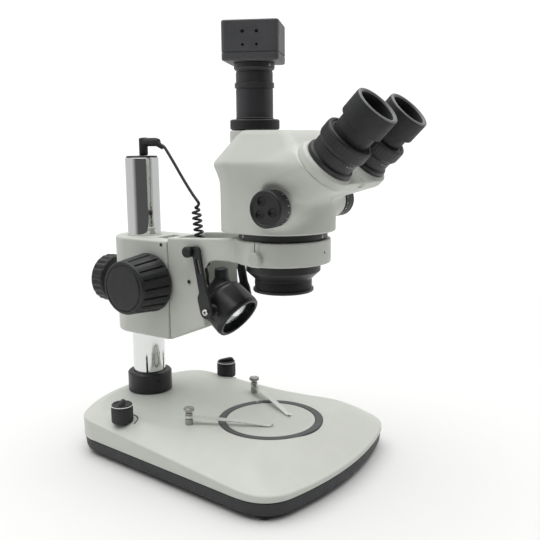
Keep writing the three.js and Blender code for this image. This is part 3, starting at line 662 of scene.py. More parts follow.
def make_clips():
    for side, s in SIDES:
        low, high = extent("clip_post_" + side)
        middle = (low + high) / 2
        top = high[2]
        seat = base_top(middle[0], middle[1])
        knurl = ribs(40, 0.22, 4.5, top - 2.9, top - 0.4)
        profile = [(0, seat - 3), (3.5, seat - 3), (3.5, 45.3), (3.1, 45.8), (1.9, 45.8), (1.9, 49.6),
                   (3.3, 49.6), (3.3, 51.2), (2.0, 51.6), (2.0, top - 3.2), (4.4, top - 3), (4.8, top - 2.6),
                    (4.8, top - 0.7), (4.2, top), (1.6, top), (1.2, top - 0.3), (0, top - 0.3)]
        lathe("clip_screw_" + side, profile, 160, POST_STEEL, "stand", ["clip_post_" + side],
              moved(middle[0], middle[1], 0), edge=0.25, relief=knurl)
        make_leaf(side, s)


def make_leaf(side, s):
    """The sprung leaf: a flat eye on the post, a long slope down to the plate and a tip that curls up."""
    hinge = pivot("clip_" + side + "_swing")
    low, high = extent("clip_leaf_" + side)
    reach_y = hinge[1] - low[1]
    reach_x = (high[0] - hinge[0]) if s < 0 else (hinge[0] - low[0])
    reach = math.hypot(reach_x, reach_y) - 1.5
    flat = high[2] - 1.9
    plate = extent("stage_plate")[1][2]
    knots = [(-4.6, flat), (5, flat), (20, flat - 0.8), (reach * 0.6, (flat + plate) / 2 + 0.6),
             (reach - 6, plate + 1.0), (reach - 3, plate + 0.8), (reach - 1.2, plate + 1.3),
             (reach, plate + 2.6)]
    line = smooth_path([(a, 0, b) for a, b in knots], 70)
    run = np.linspace(0, 1, len(line))
    width = np.interp(run, [0, 0.03, 0.08, 0.5, 0.93, 1], [1.6, 3.2, 3.3, 2.9, 2.2, 1.0])
    along = np.gradient(line, axis=0)
    along /= np.linalg.norm(along, axis=1)[:, None]
    up = np.stack([-along[:, 2], 0 * run, along[:, 0]], -1)
    section = box_outline(1, CLIP_THICK / 2, 0.16, 3)
    rings = []
    for p, w, n in zip(line, width, up):
        y = np.sign(section[:, 0]) * (w - (1 - np.abs(section[:, 0])))
        rings.append(p + y[:, None] * np.array((0, 1, 0)) + section[:, 1:] * n)
    heading = math.atan2(-reach_y, -s * reach_x)
    turn = moved(hinge[0], hinge[1], 0) @ Matrix.Rotation(heading, 4, "Z")
    piece("clip_spring_" + side, loft(rings), CLIP_STEEL, "clip_" + side, ["clip_leaf_" + side], turn)
    eye = turned(rounded([(2.1, flat - 0.5), (3.6, flat - 0.5), (3.6, flat + 1.9), (2.1, flat + 1.9)], 0.3,
                         closed=True), 64, closed=True)
    piece("clip_eye_" + side, eye, STEEL, "clip_" + side, place=turn)


# ---- Dimmers ----
def make_dimmers():
    for side, s in SIDES:
        hinge = pivot("dimmer_" + side + "_turn")
        high = extent("dimmer_knob_" + side)[1]
        seat = base_top(hinge[0], hinge[1])
        bottom, top = seat + 0.9, high[2] - 4
        body = "dimmer_" + side
        place = moved(hinge[0], hinge[1], 0)
        fluted = ribs(26, 0.30, 9.3, bottom + 1.2, top - 3.4)
        wall = [(9.9, z) for z in np.linspace(bottom + 1, top - 3.6, 7)]
        profile = [(0, bottom), (9.5, bottom), *wall, (9.75, top - 3.2), (9.7, top - 1.6), (9.0, top - 0.2),
                   (8.2, top), (6.8, top - 0.6), (0, top - 1.0)]
        lathe("dimmer_cap_" + side, profile, 240, KNOB_BLACK, body, ["dimmer_knob_" + side], place,
              edge=0.35, relief=fluted)
        band = [(9.55, top - 1.75), (9.83, top - 1.7), (9.72, top - 1.05), (9.4, top - 1.0)]
        lathe("dimmer_line_" + side, band, 128, PRINT_WHITE, body, place=place, edge=0.1, steps=2,
              closed=True)
        heading = (-s * math.pi) / 5 + (math.pi if s > 0 else 0)
        make_grip(side, body, place @ Matrix.Rotation(heading, 4, "Z"), top, high[2])
        make_dial(side, s, hinge)
        # The pot's washer is a real part, coloured black so that it stands in for the shade under the knob:
        # partly painted shade.
        shaded_washer = [(3.6, seat - 1), (7.0, seat - 1), (7.0, seat + 0.7), (3.6, seat + 0.7)]
        lathe("dimmer_shaded_washer_" + side, shaded_washer, 64, SATIN_BLACK, "stand", ["dimmer_pot_" + side], place,
              slot="steel", edge=0.2, closed=True)


def make_grip(side, body, place, top, peak):
    """The finger bar across a dimmer: a rounded ridge, a little higher at one end."""
    stations = np.array([(-8.4, 0.3, -0.6), (-8.0, 1.5, 2.0), (-6.6, 2.3, 3.6), (-4, 2.6, 4.0),
                         (0, 2.5, 3.7), (4, 2.2, 3.2), (6.8, 1.9, 2.6), (8.0, 1.3, 1.5), (8.4, 0.3, -0.6)])
    t = np.linspace(0, len(stations) - 1, 46)
    x, half, tall = (np.interp(t, range(len(stations)), stations[:, k]) for k in range(3))
    tall = tall * (peak - top) / 4 + 0.2
    rings = []
    angle = np.linspace(0, 2 * math.pi, 28, endpoint=False)
    for a, w, h in zip(x, half, tall):
        y = w * np.sign(np.cos(angle)) * np.abs(np.cos(angle)) ** 0.7
        z = np.where(np.sin(angle) > 0, h * np.abs(np.sin(angle)) ** 0.7, 1.0 * np.sin(angle))
        rings.append(np.column_stack([np.full(28, a), y, top - 1.0 + np.maximum(z, -1)]))
    piece("dimmer_grip_" + side, loft(rings), KNOB_BLACK, body, place=place, sharp=60, weighted=False)


def make_dial(side, s, hinge):
    """The printed arc beside a dimmer, which grows thicker the way the light does."""
    start, stop = (-1.75, 0.15) if s < 0 else (3.6, 5.3)
    rings = []
    for share in np.linspace(0, 1, 40):
        angle = start + (stop - start) * share
        half = 0.25 + 0.85 * share
        out = []
        for r in (13.6 - half, 13.6 + half):
            x, y = hinge[0] + r * math.cos(angle), hinge[1] + r * math.sin(angle)
            out.append((x, y, base_top(x, y) + 0.06))
        out += [(x, y, z - 0.3) for x, y, z in reversed(out)]
        rings.append(np.array(out))
    piece("dial_arc_" + side, loft(rings), PRINT, "stand", weighted=False, sharp=20)
    for k, angle in enumerate((start - 0.28, stop + 0.28)):
        x, y = hinge[0] + 13.6 * math.cos(angle), hinge[1] + 13.6 * math.sin(angle)
        z = base_top(x, y)
        dot = turned(rounded([(0, z - 0.3), (0.45 + 0.35 * k, z - 0.3), (0.45 + 0.35 * k, z + 0.07),
                              (0, z + 0.07)], 0.05), 24)
        piece(f"dial_dot_{side}_{k}", dot, PRINT, "stand", place=moved(x, y, 0))


# ---- Pillar ----
def make_pillar():
    low, high = extent("pillar_tube")
    radius = high[0]
    bore = radius - 2
    tube_profile = [(bore, low[2]), (radius, low[2]), (radius, high[2]), (bore, high[2])]
    lathe("pillar_pipe", tube_profile, 160, CHROME, "stand", ["pillar_tube"], edge=0.8, steps=4,
          closed=True)
    c_low, c_high = extent("pillar_collar")
    outer = c_high[0]
    collar = [(radius + 0.15, c_low[2]), (outer, c_low[2]), (outer, c_high[2] - 1.5),
              (outer - 1.5, c_high[2]), (radius + 0.15, c_high[2])]
    lathe("pillar_boss", collar, 128, SATIN_BLACK, "stand", ["pillar_collar"], edge=0.6, steps=4,
          closed=True)
    for k in range(2):
        angle = -2.0 + k * math.pi
        away = Vector((math.cos(angle), math.sin(angle), 0))
        recess_screw(f"collar_screw_{k}", away * (outer - 0.4) + Vector((0, 0, c_high[2] - 7)), away, 1.9,
                     "stand", DEEP_BLACK)
    top = extent("pillar_socket")[1][2]
    cap = [(3, top - 8), (bore - 0.1, top - 8), (bore - 0.1, high[2] + 0.1), (radius - 0.8, high[2] + 0.1),
           (radius - 1.4, top), (5.5, top), (5.2, top - 0.5), (3, top - 0.5)]
    lathe("pillar_cap", cap, 96, SATIN_BLACK, "stand", ["pillar_socket"], slot="black_plastic", edge=0.3,
          closed=True)


# ---- Focus block ----
BLOCK_EDGE = 2.2


def make_focus_block():
    low, high = extent("focus_housing")
    radius, front = high[0], low[1]
    pillar = extent("pillar_tube")[1][0]

    def field(x, y, z):
        back = np.hypot(x, np.maximum(y, 0)) - radius
        plan = both(back, front - y, 1.2)
        body = both(plan, between(z, low[2], high[2]), BLOCK_EDGE)
        bore = np.hypot(x, y) - pillar - 0.25
        slot = np.maximum(np.abs(x) - 12.3, y + 26)
        return smooth_max(smooth_max(body, -bore, 0.8), -slot, 0.6)

    piece("focus_casting", casting(field, low, high, 0.8), ENAMEL, "focus_block", ["focus_housing"],
          weighted=False, sharp=180)
    knob = pivot("focus_turn")
    for side, s in SIDES:
        boss = [(6, -1), (16.5, -1), (16.5, 0.9), (6, 0.9)]
        place = facing_x(s, s * radius, knob[1], knob[2])
        lathe("focus_boss_" + side, boss, 96, SATIN_BLACK, "focus_block", place=place, edge=0.3,
              closed=True)
    hole_screw("block_set_screw", (-radius - 0.1, -47, high[2] - 3.8), (-1, 0, 0), 1.5, "focus_block")
    hole_screw("block_set_screw_far", (radius + 0.1, -47, high[2] - 3.8), (1, 0, 0), 1.5, "focus_block")
    clamp = pivot("clamp_turn")
    sleeve = [(5.2, -1.5), (9.5, -1.5), (9.5, 1.4), (5.2, 1.4)]
    turn = moved(0, radius, clamp[2]) @ Matrix.Rotation(-math.pi / 2, 4, "X")
    lathe("clamp_sleeve", sleeve, 64, STEEL, "focus_block", place=turn, edge=0.3, closed=True)
    for node in ("focus_pinion", "focus_rack", "zoom_shaft"):
        dress(node, STEEL)
    dress("light_board", BOARD_GREEN)
    dress("supply_board", BOARD_GREEN)


def dress(node, material):
    """Gives a CAD node that stays in view its material."""
    mesh = frame["nodes"][node].data
    mesh.materials.clear()
    mesh.materials.append(material)


def hole_screw(name, point, direction, radius, body):
    """A small dark set screw, flush with the casting round it, with a hexagonal well."""
    def well(angle, r, z):
        fold = np.mod(angle, math.pi / 3) - math.pi / 6
        return np.where(r < radius * 0.7, np.minimum(r, radius * 0.42 / np.cos(fold)), r)
    profile = [(0, 0.04), (radius * 0.5, 0.04), (radius * 0.55, 0.12), (radius * 0.95, 0.14),
               (radius * 1.12, 0.04), (radius * 1.15, -0.4), (0, -2)]
    lathe(name, profile, 36, DEEP_BLACK, body, place=aim(point, direction), edge=0.04, steps=2, relief=well)


def make_focus_knobs():
    knob = pivot("focus_turn")
    for side, s in SIDES:
        low, high = extent("focus_knob_" + side)
        inner, outer = min(abs(low[0]), abs(high[0])), max(abs(low[0]), abs(high[0]))
        length = outer - inner
        r0, r1 = (high[2] - low[2]) / 2, (high[2] - low[2]) / 2 - 3.2
        grooves = 18

        def fluted(angle, r, z):
            fold = (np.mod(angle * grooves / (2 * math.pi), 1) - 0.5) * 2 * math.pi / grooves
            along = np.clip(np.minimum(z - 3.0, length - 3.2 - z) / 0.8, 0, 1)
            slot = np.clip(1 - np.abs(fold * r) / 0.95, 0, 1)
            scallop = 0.35 * (1 - (fold * grooves / math.pi) ** 2)
            wall = (r > r1 - 2) & (z > 0.8) & (z < length - 1)
            return r - np.where(wall, along * (1.6 * np.clip(slot * 2.6, 0, 1) + scallop), 0)

        wall = [(r0 + (r1 - r0) * t, 1.2 + (length - 3.4) * t) for t in np.linspace(0, 1, 26)]
        profile = [(0, 0), (r0 - 1.2, 0), *wall, (r1 - 0.5, length - 1.2), (r1 - 1.6, length - 0.5),
                   (r1 - 3.0, length - 0.45), (r1 - 3.5, length - 1.2), (r1 - 4.1, length - 1.2),
                   (r1 - 4.5, length - 0.3), (r1 - 6, length), (0, length)]
        place = facing_x(s, s * inner, knob[1], knob[2])
        lathe("focus_grip_" + side, profile, 18 * 26, KNOB_BLACK, "focus_drive", ["focus_knob_" + side],
              place, sharp=50, edge=0.5, relief=fluted)


def make_clamp():
    low, high = extent("clamp_knob")
    middle = (low + high) / 2
    radius = (high[2] - low[2]) / 2
    back = high[1]
    front = back - 16
    grips = 22

    def scalloped(angle, r, z):
        wave = np.abs(np.sin(angle * grips / 2)) ** 0.8
        wall = (r > radius - 3) & (z > 0.9) & (z < 15.2)
        along = np.clip(np.minimum(z - 0.9, 15.2 - z) / 1.2, 0, 1)
        return r - np.where(wall, along * 1.35 * (1 - wave), 0)

    wall = [(radius, z) for z in np.linspace(1.6, 14.2, 12)]
    profile = rounded([(0, 0), (9, 0), (10, -1.8), (13, -1.8), (14, 0), (radius - 1.8, 0), *wall,
                       (radius - 1.4, 15.6), (radius - 3, 16), (radius - 4.5, 15.2), (0, 15.2)], 0.6)
    profile = [(r, max(z, 0) if r > 12 else max(z, -0.2)) for r, z in profile]
    turn = moved(0, front, middle[2]) @ Matrix.Rotation(-math.pi / 2, 4, "X")
    piece("clamp_grip", turned(profile, grips * 22, scalloped), KNOB_BLACK, "clamp", ["clamp_knob"], turn,
          sharp=50)
    neck = turned(rounded([(0, -22), (4.1, -22), (4.1, -10.6), (7, -10.4), (7, 0.5), (0, 0.5)], 0.4), 48)
    piece("clamp_stem", neck, STEEL, "clamp", place=turn)


# ---- Arm ----
CHEEK_HOLE = (-77.5, 164.7)  # where a set screw sits in each cheek, along Y and Z


def make_arm():
    low, high = extent("arm_bracket")
    ring = pivot("head_turn")
    ring_r = high[0]
    bore = extent("mount_flange")[1][0] - 2.5
    near, back = -53.6, -60.0
    web = -137.0
    ring_low, ring_high = 188.0, high[2]
    cheek = 27.0
    beam = [(near, low[2]), (near, 203.5), (web, ring_high), (web, ring_low), (-108, 187), (-101, 185),
            (-96, 178), (-93.5, 170), (-96, 126)]
    mouth = [(back, low[2] - 9), (back, 220), (web + 1, 220), (web + 1, low[2] - 9)]
    flare = [(-cheek, -128), (-cheek, -136), (-41, -158), (-41, -166), (41, -166), (41, -158), (cheek, -136),
              (cheek, -128), (19, -125), (-19, -125)]

    def field(x, y, z):
        outline = polygon(y, z, beam)
        side = both(outline, np.abs(x) - cheek, 1.6)
        window = np.maximum(polygon(y, z, mouth), np.abs(x) - 22)
        thin = np.maximum(np.maximum(window, z - 184), np.abs(x) - 24.3)
        deep = np.maximum(np.maximum(polygon(y, z, mouth), np.abs(x) - 24.3), z - 184)
        hollow = smooth_min(smooth_min(window, thin, 1.5), deep, 1.5)
        walls = smooth_max(side, -hollow, 1.0)
        collar = both(np.hypot(x, y - ring[1]) - ring_r, between(z, ring_low, ring_high), 1.0)
        wing = both(polygon(x, y, flare), between(z, ring_low, ring_high), 1.4)
        cast = smooth_min(smooth_min(walls, wing, 4.0), collar, 2.0)
        guide = rounded_box(x, y, z, (-11.9, near - 1, 131.5), (11.9, -45.3, 189.5), 0.8)
        cast = np.minimum(cast, guide)
        hole = np.hypot(x, y - ring[1]) - bore
        away = np.hypot(y - CHEEK_HOLE[0], z - CHEEK_HOLE[1])
        dish = np.hypot(np.abs(x) - cheek - 30, away) - 31.2
        return smooth_max(smooth_max(cast, -hole, 0.8), -dish, 3.0)

    arm = piece("arm_casting", casting(field, low, high, 0.8), ENAMEL, "arm", ["arm_bracket"],
                weighted=False, sharp=180)
    screw = extent("ring_screw")
    slit = loft([level(box_outline(8, 0.45, 0.2, 2), z) for z in (0.0, ring_high - 192)])
    middle = (screw[0] + screw[1]) / 2
    carve_casting(arm, (slit, moved(-ring_r, middle[1] + 1.8, 193)),
                  (rod(2.1, -12, 3, 32, 0.05), aim((-ring_r, middle[1], middle[2]), (-1, 0, 0))),
                  (rod(1.35, -2.5, 2, 32, 0.05), aim((0, ring[1] - ring_r, 198.5), (0, -1, 0))))
    make_ring_screw(middle, screw)
    hole_screw("ring_grub_screw", (0, ring[1] - ring_r + 1.5, 198.5), (0, -1, 0), 1.15, "arm")
    for side, s in SIDES:
        hole_screw("cheek_screw_" + side, (s * (cheek - 1.05), *CHEEK_HOLE), (s, 0, 0), 1.5, "arm")
    for k, z in enumerate((140, 181)):
        recess_screw(f"slide_screw_{k}", (0, back, z), (0, -1, 0), 2.6, "arm")


def carve_casting(made, *cutters):
    """As carve, for a casting, which keeps its plain smooth shading away from the cut."""
    carve(made, *cutters)
    made.modifiers.clear()


def make_ring_screw(middle, screw):
    low, high = screw
    radius = (high[2] - low[2]) / 2
    knurl = ribs(36, 0.2, radius - 0.3, 1.0, 3.6)
    tall = -low[0] - 41.6
    profile = [(0, -6), (1.9, -6), (1.9, -0.3), (2.6, 0), (radius - 0.2, 0), (radius, 0.8),
               (radius, tall - 1), (radius - 0.9, tall - 0.1), (0, tall)]
    place = aim((-41.6, middle[1], middle[2]), (-1, 0, 0))
    lathe("thumb_screw", profile, 144, GREY_PLASTIC, "ring_lock", ["ring_screw"], place, edge=0.35,
          relief=knurl)


# ---- Lamp ----
def make_lamp_yoke():
    yoke, tilt = pivot("yoke_swing"), pivot("lamp_tilt")
    knee = (yoke[1] - 8, yoke[2] + 0.8)
    for side, s in SIDES:
        low, high = extent("lamp_leg_" + side)
        inner, outer = sorted((abs(low[0]), abs(high[0])))

        def field(x, y, z, inner=inner, outer=outer):
            bar = smooth_min(stroke(y, z, yoke[1:], knee, 4.7), stroke(y, z, knee, tilt[1:], 4.4), 1.0)
            foot = stroke(y, z, (tilt[1] + 3.0, tilt[2] + 11), (tilt[1] + 0.4, tilt[2]), 6.6)
            bar = smooth_min(bar, foot, 2.0)
            slot = stroke(y, z, (knee[0] - 1.6, knee[1] - 8), (knee[0] - 4.3, knee[1] - 19), 1.5)
            bar = smooth_max(bar, -slot, 0.6)
            return both(bar, between(np.abs(x), inner, outer), 0.5)

        piece("yoke_leg_" + side, casting(field, low - 3, high + 3, 0.45), SATIN_BLACK, "lamp_yoke",
              ["lamp_leg_" + side], weighted=False, sharp=180)
        k_low, k_high = extent("lamp_yoke_screw_" + side)
        tip = max(abs(k_low[0]), abs(k_high[0]))
        radius = (k_high[2] - k_low[2]) / 2
        knurl = ribs(30, 0.22, radius - 0.5, 0.8, 3.4)
        profile = [(0, -9), (2.0, -9), (2.0, -0.4), (3.4, 0.1), (radius - 0.2, 0.2), (radius, 0.9),
                   (radius, tip - outer - 1.4), (radius - 1, tip - outer - 0.5), (0, tip - outer)]
        place = facing_x(s, s * outer, yoke[1], yoke[2])
        lathe("yoke_grip_" + side, profile, 120, KNOB_BLACK, "yoke_knob_" + side,
              ["lamp_yoke_screw_" + side], place, edge=0.35, relief=knurl)
        recess_screw("tilt_screw_" + side, (s * (outer + 0.6), tilt[1], tilt[2]), (s, 0, 0), 3.0,
                     "lamp_yoke")


LAMP_DIP = math.radians(37)


def make_lamp():
    tilt = pivot("lamp_tilt")
    low, high = extent("lamp_body")
    ahead = np.array((-math.cos(LAMP_DIP), -math.sin(LAMP_DIP)))
    casing = [(-1, -24), (8.2, -24), (11.5, -21), (17, -13.2), (21.6, -9.4), (22.4, -7), (23.3, 13.5),
              (22.6, 16.4), (21.6, 17), (-1, 17)]

    def field(x, y, z):
        dy, dz = y - tilt[1], z - tilt[2]
        along = dy * ahead[0] + dz * ahead[1]
        across = -dy * ahead[1] + dz * ahead[0]
        radius = np.hypot(x, across)
        shell = polygon(radius, along, casing)
        stem_r = np.interp(dz, [8, 19, 26, 34.5], [13.5, 9.6, 6.6, 6.2])
        stem = both(np.hypot(x, dy - 6.4) - stem_r, between(dz, 5, 34.5), 1.2)
        shell = smooth_min(shell, stem, 3.5)
        boss = both(np.hypot(dy, dz) - 5, np.abs(x) - 28.6, 0.8)
        shell = smooth_min(shell, boss, 2.0)
        mouth = both(radius - 19.2, between(along, 7.4, 30), 0.3)
        well = np.maximum(radius - 16.8, between(along, -4, 20))
        return smooth_max(smooth_max(shell, -mouth, 0.9), -well, 0.6)

    piece("lamp_casting", casting(field, low, high, 0.65), SATIN_BLACK, "lamp", ["lamp_body"],
          weighted=False, sharp=180)
    beam = aim((0, tilt[1], tilt[2]), (0, ahead[0], ahead[1]))
    rim = [(16.8, 6.9), (19.1, 6.9), (19.1, 11.6), (17.6, 12.2), (17.6, 9.4), (16.8, 9.2)]
    lathe("lamp_bezel", rim, 128, SATIN_BLACK, "lamp", place=beam, edge=0.25, closed=True)
    cup = [(3.4, -2.6), (6, -2.2), (9.5, 0), (13, 3.4), (16.6, 7.4), (16.75, 7.2), (13.4, 2.6), (9.5, -1.2),
           (6, -3.2), (3.4, -3.4)]
    piece("lamp_reflector", turned(cup, 128, closed=True), MIRROR, "lamp", place=beam)
    lens = [(0, 7.6), (12, 7.8), (17.5, 7.8), (17.5, 9.2), (15.5, 9.6), (12, 11.0), (7, 12.0), (0, 12.4)]
    lathe("lamp_glass", lens, 128, GLASS, "lamp", ["lamp_lens"], beam, edge=0.5, steps=4)
    chip = [(0, -3.6), (3.3, -3.6), (3.3, -2.4), (2.4, -1.6), (0, -1.1)]
    lathe("lamp_chip", chip, 48, PRINT_WHITE, "lamp", place=beam)


# ---- Lamp lead ----
LEAD_R = 1.5
CURL_WIRE_R = 1.15
CURL_R = 3.65
CURL_PITCH = 5.2
LEAD = [(0, -29.1, 285.6), (0, -33, 281.2), (0, -40, 272), (0, -48, 261), (0, -56, 250.4), (0, -63, 241.8),
        (0, -68, 236.4), (0, -70.2, 233.4), (0, -70.4, 230.7)]
CURL = [(0, -66.8, 229.6), (0, -68, 216), (0, -70, 202), (0, -73, 187), (0, -77, 173)]
TAIL = [(0, -77.2, 172.6), (0, -78.4, 167), (0, -78.6, 161), (0, -80.4, 157.2)]
CURL_SPLIT = 190  # height where the curl is split into its upper and lower piece


def curl_line():
    """The curly lead's centre line: a helix about its path, worked out turn by turn."""
    path = smooth_path(CURL, 200)
    walked = np.concatenate([[0], np.cumsum(np.linalg.norm(np.diff(path, axis=0), axis=1))])
    turns = walked[-1] / CURL_PITCH
    line = []
    for t in np.linspace(0, 1, int(turns * 26)):
        at = t * walked[-1]
        centre = np.array([np.interp(at, walked, path[:, k]) for k in range(3)])
        ahead = np.array([np.interp(min(at + 1, walked[-1]), walked, path[:, k]) for k in range(3)])
        behind = np.array([np.interp(max(at - 1, 0), walked, path[:, k]) for k in range(3)])
        along = (ahead - behind) / np.linalg.norm(ahead - behind)
        across = np.array((1.0, 0, 0))
        other = np.cross(along, across)
        angle = 2 * math.pi * turns * t - math.pi / 2
        reach = CURL_R * min(1, 0.25 + 14 * t, 0.25 + 14 * (1 - t))
        line.append(centre + reach * (math.cos(angle) * across + math.sin(angle) * other))
    return np.array(line)


def make_cord():
    top = extent("dc_plug")[1][2]
    high = extent("pillar_socket")[1]
    y = -2.8

    def field(x, py, z):
        stem = both(np.hypot(x, py - y) - 4.2, between(z, high[2] + 0.4, top), 1.4)
        elbow = both(np.hypot(x, z - (top - 4.1)) - 4.05, between(py, y - 17.4, y), 0.8)
        step = both(np.hypot(x, z - (top - 4.1)) - 3.3, between(py, y - 20, y - 10), 0.8)
        return smooth_min(smooth_min(stem, elbow, 1.6), step, 0.8)

    piece("plug_body", casting(field, (-5, y - 21, high[2]), (5, y + 5, top), 0.4), CUP_RUBBER, "plug",
          ["dc_plug"], weighted=False, sharp=180)
    barrel = rod(2.7, high[2] - 9, high[2] + 1, 32)
    piece("plug_barrel", barrel, STEEL, "plug")
    relief = []
    for k, t in enumerate(np.linspace(0, 1, 29)):
        ridge = 0.45 if k % 4 < 2 else 0
        relief.append((3.3 - 1.4 * t - ridge * (t > 0.05), 9.6 * t))
    sleeve = turned([(0, 0), *relief, (0, 9.6)], 40)
    direction = Vector(LEAD[1]) - Vector((0, y - 16.8, top - 4.5))
    piece("plug_relief", sleeve, CUP_RUBBER, "plug", place=aim((0, y - 16.8, top - 4.5), direction),
          sharp=60)

    start = np.array((0, y - 22, top - 6.4))
    helix = curl_line()
    lead_points = [tuple(start), *LEAD[:-1], tuple((np.array(LEAD[-1]) + helix[0]) / 2 + (0, 0, 0.6)),
                   tuple(helix[0])]
    lead = piece("lamp_lead", tube(smooth_path(lead_points, 60), LEAD_R - 0.1, 14), CORD_RUBBER, None,
                 ["cord_lead"], sharp=60, weighted=False)
    stretch(lead, "plug", "focus_block", LEAD[1], LEAD[-2])
    split = int(np.argmin(np.abs(helix[:, 2] - CURL_SPLIT)))
    upper = piece("lamp_curl_upper", tube(helix[: split + 1], CURL_WIRE_R, 12), CORD_RUBBER, None,
                  ["cord_curl"], sharp=60, weighted=False)
    stretch(upper, "focus_block", "arm", helix[0], helix[split])
    lower = piece("lamp_curl_lower", tube(helix[split:], CURL_WIRE_R, 12), CORD_RUBBER, None, sharp=60,
                  weighted=False)
    stretch(lower, "arm", "lamp_yoke", helix[split], helix[-1])
    tail_points = [tuple(helix[-1]), *TAIL[1:], (0, -84.5, 152.5)]
    tail = piece("lamp_tail", tube(smooth_path(tail_points, 34), LEAD_R - 0.1, 14), CORD_RUBBER, None,
                 ["cord_tail"], sharp=60, weighted=False)
    stretch(tail, "lamp_yoke", "lamp", helix[-1], TAIL[-1])


def stretch(made, upper, lower, start, end):
    """Bakes a stretch of the lead's placement into its mesh; the lead stays on no body."""
    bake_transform(made)


# ---- Head ----
# Height, half width, back and front of the head casting, and the radius of its rear and its front corners.
HEAD_PLANS = np.array([(214, 45, -118.2, -208.2, 25, 44.9), (246, 45, -118.2, -208.2, 25, 44.9),
                       (258, 45.6, -118, -212, 25, 38), (266, 48.6, -117.2, -222, 24, 30),
                       (272, 50.6, -116.6, -240, 22, 22), (276, 48.2, -119.6, -244, 21, 21),
                       (299, 33.4, -138, -246, 14, 14)])


def head_plan(z):
    """The head's plan numbers at a height, with the corners between the listed heights eased."""
    levels = HEAD_PLANS[:, 0]
    offsets = (-2.4, -1.2, 0, 1.2, 2.4)
    return [sum(np.interp(z + d, levels, column) for d in offsets) / len(offsets)
            for column in HEAD_PLANS[:, 1:].T]


def along_tube(y, z):
    """How far a point is along the eyepieces' direction, and up the slanted face, from a tube's root."""
    root = tube_root()
    dy, dz = y - root[1], z - root[2]
    return (dz - dy) * math.sqrt(0.5), (dz + dy) * math.sqrt(0.5)


def tube_root(side=1):
    """Where an eyepiece tube leaves its prism housing, 21 mm before the diopter ring's pivot."""
    x, y, z = pivot("diopter_right_turn")
    back = 21 * math.sqrt(0.5)
    return np.array((side * x, y + back, z - back))


PRISM_DEEP = 7.0
LOBE_DEPTH = 50.0  # how deep a lobe runs into the head, along its tube
LOBE_NARROW = 0.12  # the part of its width a lobe loses on the way
LOBE_RISE = 0.54  # how much a lobe's axis rises against its tube's, as a slope


def prism_outline(across, up, root, radius, inner):
    """Distance to a prism housing's outline: round outside, a straight inner edge with round corners."""
    block = both(np.abs(up) - radius, inner - across, 6.0)
    return np.where(across > root[0], np.hypot(across - root[0], up) - radius,
                    np.maximum(block, inner - across))


def make_head():
    low, high = extent("head_body")
    port = pivot("camera_turn")
    port_r = extent("port_collar")[1][0] + 0.3
    zoom = pivot("zoom_turn")
    knob_low, knob_high = extent("zoom_knob_right")
    pocket_r = (knob_high[2] - knob_low[2]) / 2 + 1.6
    pocket_x = knob_low[0] - 1.2

    root = tube_root()
    prism_r = extent("prism_housing_right")[1][0] - root[0]

    def field(x, y, z):
        half, back, front, rear_r, front_r = head_plan(z)
        middle = (back + front) / 2
        corner = np.where(y > middle, rear_r, front_r)
        u = np.abs(x) - half + corner
        v = np.abs(y - middle) - (back - front) / 2 + corner
        plan = np.hypot(np.maximum(u, 0), np.maximum(v, 0)) + np.minimum(np.maximum(u, v), 0) - corner
        body = smooth_max(plan * 0.93, z - high[2], 4.0)
        body = smooth_max(body, low[2] - z, 1.2)
        along, up = along_tube(y, z)
        deep = np.clip(-along - PRISM_DEEP, 0, 70)
        width = 1 - LOBE_NARROW * deep / (LOBE_DEPTH - PRISM_DEEP)
        lobe = prism_outline(np.abs(x) / width, up - LOBE_RISE * deep, root, prism_r, -0.6)
        lobe = smooth_max(lobe * 0.87, -LOBE_DEPTH - along, 6.0)
        body = smooth_min(body, lobe, 7.0)
        body = smooth_max(body, along + PRISM_DEEP, np.interp(up, [16, 27], [1.6, 8.0]))
        boss = both(np.hypot(x, y - port[1]) - port_r, between(z, 252, high[2]), 0.8)
        body = smooth_min(body, boss, 1.6)
        reach = np.hypot(y - zoom[1], z - zoom[2])
        body = smooth_min(body, both(reach - 15.2, np.abs(x) - pocket_x - 0.2, 0.8), 7.0)
        flare = pocket_r + 0.55 * np.maximum(np.abs(x) - pocket_x, 0)
        pocket = np.maximum(reach - flare, pocket_x - np.abs(x))
        return smooth_max(body, -pocket, 2.5)

    piece("head_casting", casting(field, low, high, 0.85), ENAMEL, "head", ["head_body"], weighted=False,
          sharp=180)
    flange_high = extent("mount_flange")[1]
    radius = flange_high[0]
    ring = pivot("head_turn")
    disc = 208.6
    profile = [(30, 190), (radius - 2.9, 190), (radius - 2.9, disc), (radius - 0.6, disc),
               (radius, disc + 0.7), (radius, flange_high[2] - 0.6), (radius - 0.6, flange_high[2]),
               (30, flange_high[2])]
    lathe("mount_disc", profile, 160, SATIN_BLACK, "head", ["mount_flange"], moved(0, ring[1], 0), edge=0.3,
          closed=True)
    for k in range(3):
        angle = math.radians(152 + 120 * k)
        away = Vector((math.cos(angle), math.sin(angle), 0))
        recess_screw(f"flange_screw_{k}", away * (radius - 0.2) + Vector((0, ring[1], 211.6)), away, 1.3,
                     "head")


